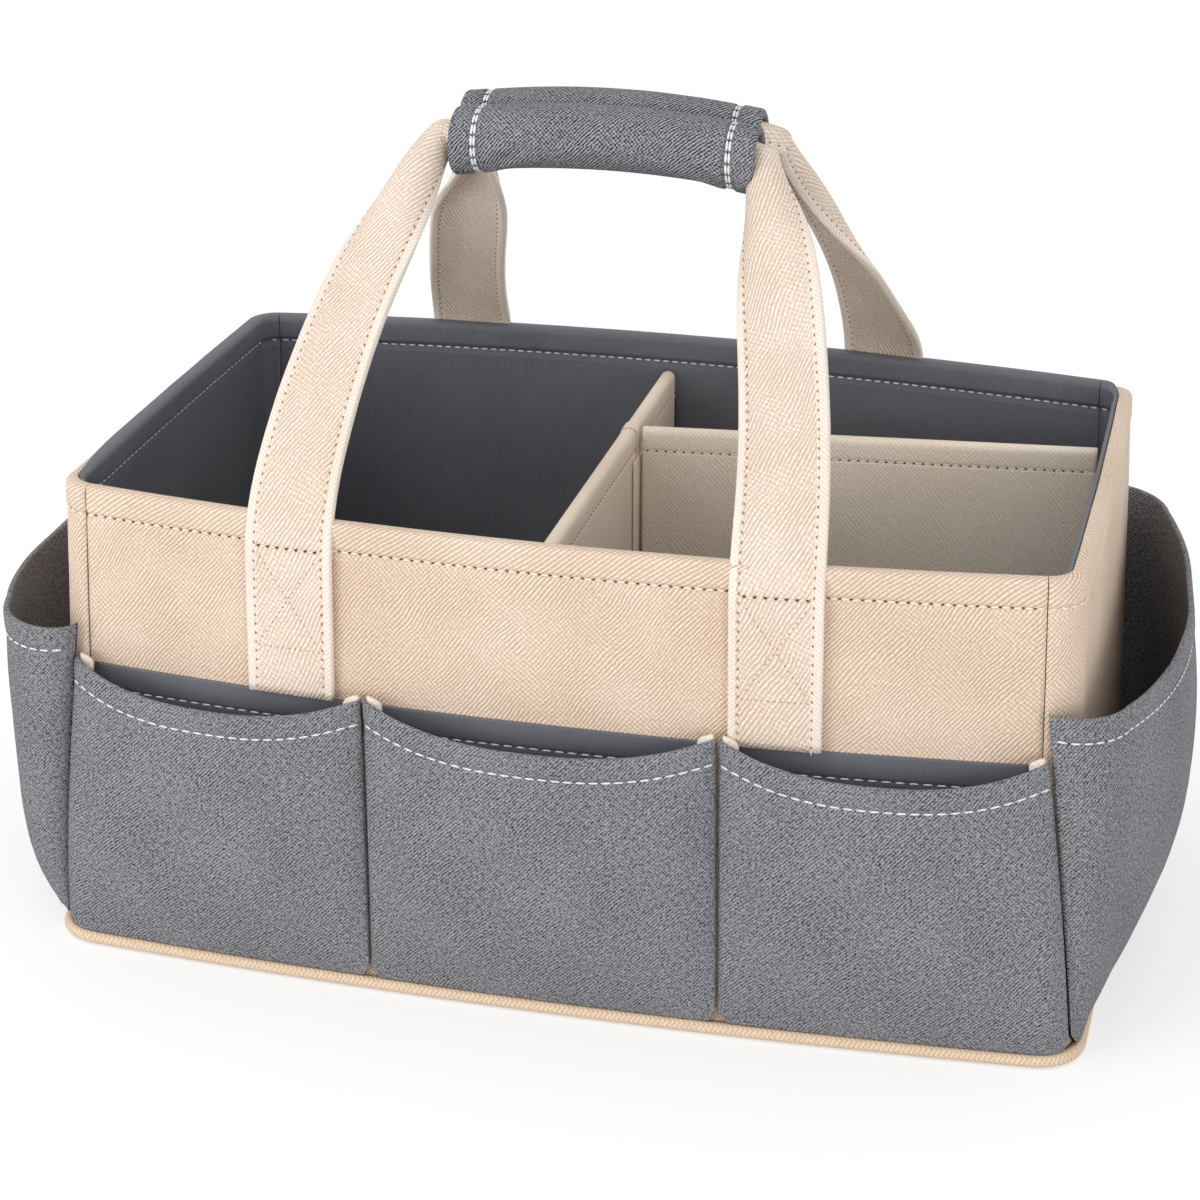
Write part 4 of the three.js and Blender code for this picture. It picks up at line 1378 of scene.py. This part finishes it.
# Pitch, dash and width in millimetres, with sink and start as in stitch_row.
stitches = {
    "hem": {"pitch": 3.85, "dash": 2.6, "width": 0.95, "sink": 0.2},
    "hem_hole": {"pitch": 3.85, "dash": 1.0, "width": 0.8, "sink": 0.4, "start": 0.0},
    "lining": {"pitch": 3.9, "dash": 2.8, "width": 0.8},
    "pocket": {"pitch": 4.6, "dash": 3.6, "width": 0.85, "sink": 0.3},
    "backing": {"pitch": 4.8, "dash": 3.4, "width": 0.8},
    "border_hole": {"pitch": 3.5, "dash": 1.0, "width": 0.72, "sink": 0.45},
    "border": {"pitch": 3.5, "dash": 2.3, "width": 0.5, "start": 0.0},
    "rim_hole": {"pitch": 3.5, "dash": 1.25, "width": 1.0, "sink": 0.35},
    "rim": {"pitch": 3.5, "dash": 2.2, "width": 0.6, "sink": 0.25, "start": 0.0},
    "patch_hole": {"pitch": 2.4, "dash": 0.75, "width": 0.5, "sink": 0.45},
    "grip": {"pitch": 4.3, "dash": 3.9, "width": 1.15, "sink": 0.3},
    "divider": {"pitch": 3.6, "dash": 2.4, "width": 0.55},
    "divider_hole": {"pitch": 3.6, "dash": 1.0, "start": 0.0},
}
threads, holes = {}, {}


def panel_line(first, last, z, offset):
    """A line along a wall panel between its two seams, with the wall's normals."""
    units = np.linspace(first + 2 * half_seam_unit, last - 2 * half_seam_unit, 160)
    return on_wall(units, z, offset), wall_normal(units, z)


for wall, (first, last) in cover_spans.items():
    line = panel_line(first, last, seam_line, -0.3 * mm)
    name = f"{wall}_hem_thread"
    threads[name] = stitch_row(name, *line, **stitches["hem"])
    if wall in ("front", "back"):
        name = f"{wall}_hem_holes"
        holes[name] = stitch_row(name, *line, **stitches["hem_hole"])
    places, normals = panel_line(first, last, lining_seam_line, -5.95 * mm)
    name = f"{wall}_lining_thread"
    threads[name] = stitch_row(name, places, -normals, **stitches["lining"])

for pocket_name, pocket in pockets.items():
    s = np.linspace(0.004, 0.996, 200)
    z = lip_height(pocket, s) - 9.3 * mm
    offset = pocket_inner(pocket, s, z) + canvas - 0.1 * mm
    unit = pocket_unit(pocket, s, z)
    places, above = on_wall(unit, z, offset), on_wall(unit, z + 1 * mm, offset)
    normals = unit_vector(np.cross(np.gradient(places, axis=0), above - places))
    name = f"{pocket_name}_thread"
    threads[name] = stitch_row(name, places, normals, **stitches["pocket"])

backing_seam_line = 107.6 * mm
for pocket_name, pocket in side_pockets.items():
    ends = pocket["start"] + 2.5 * mm, pocket["end"] - 2.5 * mm
    units = np.linspace(*(unit_along(pocket["side"], end) for end in ends), 60)
    places = on_wall(units, backing_seam_line, 1.05 * mm)
    name = pocket_name.replace("pocket", "backing") + "_thread"
    normals = wall_normal(units, backing_seam_line)
    threads[name] = stitch_row(name, places, normals, **stitches["backing"])
print(len(threads), "rows of thread so far")

# %% Stitches of the straps
def strap_line(handle, a, b):
    """Points along a strap at the outline place (a, b), with their normals."""
    spot, above = (strap_points(handle, np.array([a]), np.array([y]))[:, 0] for y in (b, b * 1.3))
    return spot * sides[handle], unit_vector(above - spot) * sides[handle]


def patch_line(handle, direction, low, high):
    """A straight line over a strap's sewn end, between two (height, across) places in mm."""
    share = np.linspace(0, 1, 40)
    z = (low[0] + (high[0] - low[0]) * share) * mm
    across = (low[1] + (high[1] - low[1]) * share) * mm
    unit = unit_along(FRONT, handle_shift + direction * strap_centre)
    unit = unit + across * side_part / (2 * seam_x)
    return on_wall(unit, z, 3.6 * mm) * sides[handle], wall_normal(unit, z) * sides[handle]


patch_lines = {
    "fall": ((171.5, -10.5), (139.0, 10.5)),
    "rise": ((139.0, -10.5), (171.5, 10.5)),
    "low": ((136.5, -12.4), (136.5, 12.4)),
}
seam_across = strap_width / 2 - border
for handle in sides:
    dots, dashes, deep = [], [], []
    for a in (-seam_across, seam_across):
        for b in (1.22 * mm, -1.22 * mm):
            line = strap_line(handle, a, b)
            dots.append(stitch_row("dots", *line, **stitches["border_hole"]))
            dashes.append(stitch_row("dashes", *line, **stitches["border"]))
    for direction in (-1, 1):
        top = patch_line(handle, direction, (175.0, -12.4), (175.0, 12.4))
        deep.append(stitch_row("deep", *top, **stitches["rim_hole"]))
        dashes.append(stitch_row("dashes", *top, **stitches["rim"]))
        for low, high in patch_lines.values():
            line = patch_line(handle, direction, low, high)
            dots.append(stitch_row("dots", *line, **stitches["patch_hole"]))
    holes[f"{handle}_strap_dots"] = join_rows(f"{handle}_strap_dots", dots)
    holes[f"{handle}_strap_holes"] = join_rows(f"{handle}_strap_holes", deep)
    threads[f"{handle}_strap_thread"] = join_rows(f"{handle}_strap_thread", dashes)

# %% Stitches of the grips
for handle, flip in sides.items():
    rings = []
    slide = np.array((sleeve_slide[handle], 0, 0))
    for x in (-sleeve_stitch, sleeve_stitch):
        for beside in (-0.58 * mm, 0.58 * mm):
            turn = np.linspace(0, 2 * math.pi, 120)
            middle = np.full(turn.shape, handle_shift + x + beside)
            line = sleeve_point(middle, 11.4 * mm, turn)
            normals = unit_vector(line - sleeve_point(middle, 0.0, turn))
            row = line * flip + slide, normals * flip
            rings.append(stitch_row("ring", *row, **stitches["grip"]))
    threads[f"{handle}_grip_thread"] = join_rows(f"{handle}_grip_thread", rings)

# %% Stitches of the dividers
def divider_stitches(name, length, place, hole):
    """The rows below a divider's fold, on both of its faces. hole is a hole's width in mm."""
    rows, dots = [], []
    turn = place.to_3x3()
    for side in (-1, 1):
        x = np.linspace(2 * mm, length - 2 * mm, 80)
        points = [place @ Vector((v, side * (divider_half - 0.2 * mm), 163 * mm)) for v in x]
        normal = turn @ Vector((0, side, 0))
        line = np.array([tuple(p) for p in points]), np.array([tuple(normal)] * len(x))
        rows.append(stitch_row("dashes", *line, **stitches["divider"]))
        dots.append(stitch_row("dots", *line, width=hole, **stitches["divider_hole"]))
    threads[f"{name}_thread"] = join_rows(f"{name}_thread", rows)
    holes[f"{name}_holes"] = join_rows(f"{name}_holes", dots)


divider_stitches("long_divider", long_high.y - long_low.y, long_place, 0.5)
divider_stitches("short_divider", short_length, short_place, 0.8)
print(len(threads), "rows of thread and", len(holes), "of holes")

# %% [markdown]
# ## Hook tape and the hinge strip
#
# The dividers hold to the lining with strips of hook tape at their ends, and a strip of
# leatherette joins the short divider to the long one. Their solids have the right shape
# already, so each strip is a copy of its solid, merged into one skin and with its edges
# bevelled round. The hooks are left to the bump of the finish.

# %% Tapes
tape_edge = 0.25 * mm


def strip(node):
    """A soft strip from a copy of a solid, with rounded edges."""
    bm = bmesh.new()
    bm.from_mesh(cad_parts[node].data)
    bmesh.ops.remove_doubles(bm, verts=bm.verts, dist=1e-6)
    bmesh.ops.dissolve_limit(bm, angle_limit=0.02, verts=bm.verts, edges=bm.edges)
    bmesh.ops.bevel(
        bm, geom=bm.edges[:], offset=tape_edge, segments=3, profile=0.5, affect="EDGES", material=-1
    )
    for face in bm.faces:
        face.smooth = True
    return piece_from(bm, node + "_strip")


tape_nodes = [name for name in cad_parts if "_tape" in name]
tapes = {name: strip(name) for name in tape_nodes}
print(len(tapes), "strips")

# %% [markdown]
# ## Leatherette
#
# The leatherette is pressed with fine slanting ridges, broken here and there by a second
# set that crosses them. Two waves on the cloth's own map make the two sets. Slow noise
# bends them, so they wander like pressed grain, and decides where the second set shows.
# The same height gives both the colour and the bump. The colour is paler on the ridges and
# darker in the valleys: partly the grain's own tone, partly painted highlight on the ridges and
# painted shade in the valleys. The walls, the straps and the dividers are pressed alike, each at
# its own angle and pitch. The long divider is nearly smooth, and the piping's strands slant both
# ways.

# %% Pressed ridges
def ridges(along, up, degrees, pitch, bend):
    """Ridges that rise to the right at an angle: 0 in a valley, 1 on a ridge."""
    slope = math.radians(degrees)
    across = along * math.sin(slope) - up * math.cos(slope)
    return (across * (2 * math.pi / pitch) + bend).sine() * 0.5 + 0.5


wander = 7.0


class Pressed:
    """The ridge pattern of one leatherette, from where a point lies on its cloth."""

    def __init__(self, finish, degrees, pitch):
        place = finish.cloth()
        self.finish, self.place = finish, place
        self.along, self.up = finish.part(place, 0), finish.part(place, 1)
        slow = finish.grain(place, 0.035, 1.0)
        quick = finish.grain(place, 0.3, 2.0)
        self.bend = slow * (4 * wander) + quick * (wander * 0.55)
        self.main = ridges(self.along, self.up, degrees, pitch, self.bend)
        self.cross = ridges(self.along, self.up, degrees + 86, pitch * 1.1, self.bend * 0.8)
        self.patches = finish.grain(place, 0.055, 2.0).within(0.44, 0.62)
        self.notches = finish.grain(place, 0.8, 2.0).within(0.42, 0.64)

    def height(self, crossing=0.5, notching=0.4):
        crossed = self.main * (1 - self.patches * crossing) + self.patches * self.cross * crossing
        return crossed * (1 - self.notches * notching)

    def paint(self, height, valley, crest, depth):
        """Colour from the height, partly the grain's own tone and partly painted highlight on the
        ridges and painted shade in the valleys, with a slow change of tone, and the bump.
        """
        finish = self.finish
        tone = finish.grain(self.place, 0.022, 3.0).within(0.3, 0.7)
        fine = finish.grain(self.place, 1.1, 2.0)
        finish.colour(height * 0.78 + tone * 0.12 + fine * 0.4 - 0.12, valley, crest)
        finish.feed("Roughness", 0.62 - height * 0.12)
        finish.bump(height + fine * 0.25, depth)


def wall_leatherette():
    """The covers: steep ridges on the wall, and wider, flatter ones on the puffed hem."""
    finish = Finish("leatherette", Specular_IOR_Level=0.35)
    pressed = Pressed(finish, 51, 1.3)
    hem = pressed.up.within(172.4, 173.6)
    rolled = ridges(pressed.along, pressed.up, 38, 1.5, pressed.bend * 0.6)
    rolled = (rolled * 0.84 + pressed.cross * 0.16) * (1 - pressed.notches * 0.35)
    height = pressed.height() * (1 - hem) + rolled * hem
    # The darker valley colour is partly painted shade and the paler crest colour partly painted
    # highlight.
    pressed.paint(height, (188, 152, 120), (252, 238, 222), 0.2 * mm)
    return finish


def strap_finish():
    """The straps: bolder ridges, and a plaited look on the rolled borders."""
    finish = Finish("strap_leatherette", Specular_IOR_Level=0.35)
    pressed = Pressed(finish, 30, 1.5)
    once_over = cloth_lengths(strap_outline)[-1] / mm / 2
    across = pressed.up.math("MODULO", once_over)
    off_middle = (across - (strap_width / mm / 2)).size()
    rolled = off_middle.within(12.6, 13.3)
    slant = (pressed.along + off_middle * 0.8) * (2 * math.pi / 1.7)
    plait = (slant + pressed.bend * 0.4).sine() * 0.16 + 0.62
    height = pressed.height(0.4, 0.5) * (1 - rolled) + plait * rolled
    # The darker valley colour is partly painted shade and the paler crest colour partly painted
    # highlight.
    pressed.paint(height, (206, 168, 134), (255, 251, 244), 0.3 * mm)
    return finish


def crosshatch_finish():
    """A flatter leatherette in which both sets of ridges show everywhere."""
    finish = Finish("divider_leatherette", Specular_IOR_Level=0.35)
    pressed = Pressed(finish, 52, 1.3)
    hem = pressed.up.within(159.0, 160.0)
    both = pressed.main * 0.5 + pressed.cross * 0.5
    height = both * (1 - hem) + pressed.height(0.5) * hem
    height = height * (1 - pressed.notches * 0.3)
    # The darker valley colour is partly painted shade and the paler crest colour partly painted
    # highlight.
    pressed.paint(height, (232, 206, 178), (255, 250, 242), 0.14 * mm)
    return finish


def smooth_finish():
    """The long divider: nearly smooth, with a fine grain and soft clouds of tone."""
    finish = Finish("smooth_leatherette", Specular_IOR_Level=0.3, Roughness=0.62)
    place = finish.cloth()
    fine = finish.grain(place, 1.5, 3.0)
    clouds = finish.grain(place, 0.04, 3.0)
    weave = ridges(finish.part(place, 0), finish.part(place, 1), 50, 0.9, fine * 3)
    level = fine * 0.6 + clouds * 0.5 + weave * 0.12 - 0.1
    finish.colour(level, (228, 204, 178), (255, 242, 226))
    finish.bump(fine + weave * 0.3, 0.09 * mm)
    return finish


def piping_finish():
    """The piping: fine strands that slant both ways round the cord."""
    finish = Finish("piping", Specular_IOR_Level=0.3, Roughness=0.6)
    place = finish.cloth()
    along, around = finish.part(place, 0), finish.part(place, 1)
    side = (around.math("FLOORED_MODULO", 3.6) - 1.8).size()
    loose = finish.grain(place, 0.5, 2.0)
    strand = ((along + side * 0.8) * (2 * math.pi / 1.8) + loose * 3.0).sine() * 0.5 + 0.5
    height = strand * 0.55 + loose * 0.5
    # The colour is darker between the strands: painted shade in the grooves, over the cord's own
    # tan.
    finish.colour(height, (196, 160, 124), (246, 226, 202))
    finish.bump(height, 0.16 * mm)
    return finish

# %% [markdown]
# ## Canvas and lining
#
# The canvas is heathered: fine pale and dark fibres lie in slanting rows, and the square weave
# shows faintly through. The rows are close waves, in patches where one slant wins over the
# other. Noise that is drawn out along one direction gives the threads of the square weave.
# The lining is smooth and satin, with only a fine upright weave.

# %% Canvas and lining
def canvas_finish(name, dark, light, slanted):
    """Grey canvas. slanted is how strongly the slanting rows of fibres show."""
    finish = Finish(name, Roughness=0.88, Specular_IOR_Level=0.25)
    place = finish.cloth()
    along, up = finish.part(place, 0), finish.part(place, 1)
    bend = finish.grain(place, 0.05, 1.0) * 14 + finish.grain(place, 0.45, 2.0) * 5
    rising = ridges(along, up, 46, 1.08, bend) - 0.5
    falling = ridges(along, up, 134, 1.12, bend * 0.8) - 0.5
    patch = finish.grain(place, 0.05, 2.0).within(0.38, 0.6)
    slants = rising * (0.55 + patch * 0.45) + falling * (0.5 - patch * 0.4)
    square = finish.strokes(place, 90, 2.8, 0.4) + finish.strokes(place, 0, 2.4, 0.4) - 1
    speck = finish.grain(place, 0.95, 2.0) - 0.5
    clouds = finish.grain(place, 0.03, 2.0) - 0.5
    fibre = slants * slanted + square * 1.1 + speck * 1.5
    finish.colour(fibre + clouds * 0.25 + 0.5, dark, light)
    finish.bump(fibre * 0.5 + 0.5, 0.3 * mm)
    return finish


def lining_finish():
    """The lining: satin, with long upright strokes crossed by fainter level ones."""
    finish = Finish("lining", Specular_IOR_Level=0.4)
    place = finish.cloth()
    upright = finish.strokes(place, 90, 12.0, 0.5)
    level = finish.strokes(place, 0, 5.0, 0.5)
    clouds = finish.grain(place, 0.03, 2.0)
    weave = upright * 0.6 + level * 0.4
    finish.colour(weave * 0.7 + clouds * 0.3, (74, 76, 83), (122, 124, 132))
    finish.feed("Roughness", 0.42 + weave * 0.16)
    finish.bump(weave, 0.12 * mm)
    return finish

# %% Thread, holes, tape and board
def thread_finish(name, shade, light):
    """Twisted thread: fine pale and darker bands, placed by where they are in space."""
    finish = Finish(name, Roughness=0.7, Specular_IOR_Level=0.3)
    place = finish.space()
    twist = finish.grain(place, 1.6, 2.0)
    finish.colour(twist.within(0.3, 0.7), shade, light)
    finish.bump(twist, 0.1 * mm)
    return finish


def plain_grain(name, scale, dark, light, depth, roughness):
    """A surface with one noise: hooks, foam and needle holes."""
    finish = Finish(name, Roughness=roughness, Specular_IOR_Level=0.2)
    speck = finish.grain(finish.space(), scale, 3.0)
    finish.colour(speck.within(0.3, 0.7), dark, light)
    finish.bump(speck, depth)
    return finish


leatherette = wall_leatherette()
strap_leatherette = strap_finish()
divider_leatherette = crosshatch_finish()
smooth_leatherette = smooth_finish()
piping_braid = piping_finish()
canvas_grey = canvas_finish("canvas", (44, 45, 50), (168, 169, 174), 0.55)
grip_grey = canvas_finish("grip_canvas", (38, 39, 44), (168, 169, 174), 1.15)
lining_grey = lining_finish()
white_thread = thread_finish("white_thread", (214, 215, 218), (252, 252, 252))
pale_thread = thread_finish("pale_thread", (234, 212, 188), (255, 247, 236))
# Needle holes are dark beads between the pale thread: painted shade inside each hole.
needle_hole_shade = plain_grain("needle_hole_shade", 2.0, (74, 48, 28), (118, 84, 56), 0.05 * mm, 0.9)
needle_dot_shade = plain_grain("needle_dot_shade", 2.0, (138, 98, 66), (182, 142, 106), 0.05 * mm, 0.9)
hook_tape = plain_grain("hook_tape", 1.8, (24, 24, 27), (62, 62, 67), 0.4 * mm, 0.95)
board_foam = plain_grain("board_foam", 0.9, (188, 178, 160), (214, 206, 190), 0.1 * mm, 0.9)
print(len(bpy.data.materials), "finishes")

# %% [markdown]
# ## Putting the finishes on, and saying what moves
#
# Every piece gets its finish and the body that it rides on, and the solids that it stands for
# are hidden. A strap is sewn to the wall and also swings; it and its stitches ride on no body,
# and their places are baked into their meshes. The boards are hidden in the covers and keep
# their solids.

# %% Finishes, bodies and nodes
def dress(piece, finish, slot, body, *nodes):
    """Gives a piece its finish and body, and hides the solids it stands for. slot is not used."""
    piece.data.materials.append(finish.material)
    if body:
        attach(piece, body)
    if nodes:
        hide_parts(*nodes)


for wall in cover_spans:
    dress(covers[wall], leatherette, "leatherette", "body", f"{wall}_cover")
    dress(linings[wall], lining_grey, "lining", "body", f"{wall}_lining")
dress(floor_skin, lining_grey, "lining", "body", "floor_lining")
dress(base_skin, divider_leatherette, "leatherette", "body", "base_panel")
dress(piping, piping_braid, "piping", "body", "base_piping")
for name, piece in canvases.items():
    dress(piece, canvas_grey, "canvas", "body", name)
for name, piece in backings.items():
    dress(piece, lining_grey, "lining", "body", name)
for name, piece in gussets.items():
    dress(piece, divider_leatherette, "leatherette", "body", name)
dress(long_pad, smooth_leatherette, "leatherette", "long_divider", "long_divider_cover")
dress(short_pad, divider_leatherette, "leatherette", "short_divider", "short_divider_cover")
dress(junction, smooth_leatherette, "leatherette", "long_divider")
for name, piece in tapes.items():
    body = "short_divider" if name.startswith("short") else "long_divider"
    if name == "divider_hinge_tape":
        dress(piece, smooth_leatherette, "leatherette", body, name)
    else:
        dress(piece, hook_tape, "tape", body, name)

hinge_y, bend_low, bend_high = 119.9 * mm, 0.166, 0.18


def bends_with_strap(piece, wall):
    """Bakes a piece's place into its mesh, for a strap or its stitches."""
    y = -hinge_y if wall == "front" else hinge_y
    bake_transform(piece)


for wall in sides:
    patches = f"{wall}_strap_patch_left", f"{wall}_strap_patch_right"
    strap_nodes = f"{wall}_handle_strap", *patches
    dress(straps[wall], strap_leatherette, "strap_leatherette", None, *strap_nodes)
    dress(grips[wall], grip_grey, "canvas", f"{wall}_handle", f"{wall}_handle_grip")
    bends_with_strap(straps[wall], wall)


def dress_stitches(name, row, finish):
    """Stitches ride with what they are sewn into."""
    if "strap" in name:
        dress(row, finish, None, None)
        bends_with_strap(row, name.split("_")[0])
    elif "divider" in name:
        dress(row, finish, None, name.rsplit("_", 1)[0])
    elif "grip" in name:
        dress(row, finish, None, name.replace("grip_thread", "handle"))
    else:
        dress(row, finish, None, "body")


for name, row in threads.items():
    on_leatherette = any(part in name for part in ("hem", "strap", "divider"))
    dress_stitches(name, row, pale_thread if on_leatherette else white_thread)
for name, row in holes.items():
    dress_stitches(name, row, needle_dot_shade if "dots" in name else needle_hole_shade)

# %% [markdown]
# ## Cut sizes of the cloth
#
# Cloth can't stretch, so the flat cut of every sheet is measured. The cloth maps are drawn to
# size, so the cut can be measured on them: they run once along the piece and once round both
# of its faces.

# %% Cut sizes
def cut_size(piece):
    """Length and width of the flat cut, measured on the cloth map."""
    uv = np.empty(2 * len(piece.data.loops))
    piece.data.uv_layers["cloth"].data.foreach_get("uv", uv)
    along, around = np.ptp(uv.reshape(-1, 2), axis=0)
    return float(along), float(around) / 2


for wall in cover_spans:
    cut_size(covers[wall])
    seam = [threads[f"{wall}_lining_thread"]]
    cut_size(linings[wall])
for name, piece in canvases.items():
    fold = name.replace("pocket", "gusset")
    sewn_on = [threads[f"{name}_thread"]]
    sewn_on += [gussets[f"{fold}_{letter}"] for letter in "ab" if f"{fold}_{letter}" in gussets]
    wall = name.split("_pocket")[0]
    cut_size(piece)
for name, piece in backings.items():
    wall, seam = name.split("_")[0], [threads[f"{name}_thread"]]
    cut_size(piece)
for piece, node, held in (
    (floor_skin, "floor_lining", "laid"), (base_skin, "base_panel", "stretched")
):
    low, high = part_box(node)

# %% Boards
for name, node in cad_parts.items():
    if not node.hide_render:
        node.data.materials.clear()
        node.data.materials.append(board_foam.material)
        print("left as its solid:", name)

# %% Sizes
low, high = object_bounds()
print("visual", [round(v, 4) for v in (*low, *high)])
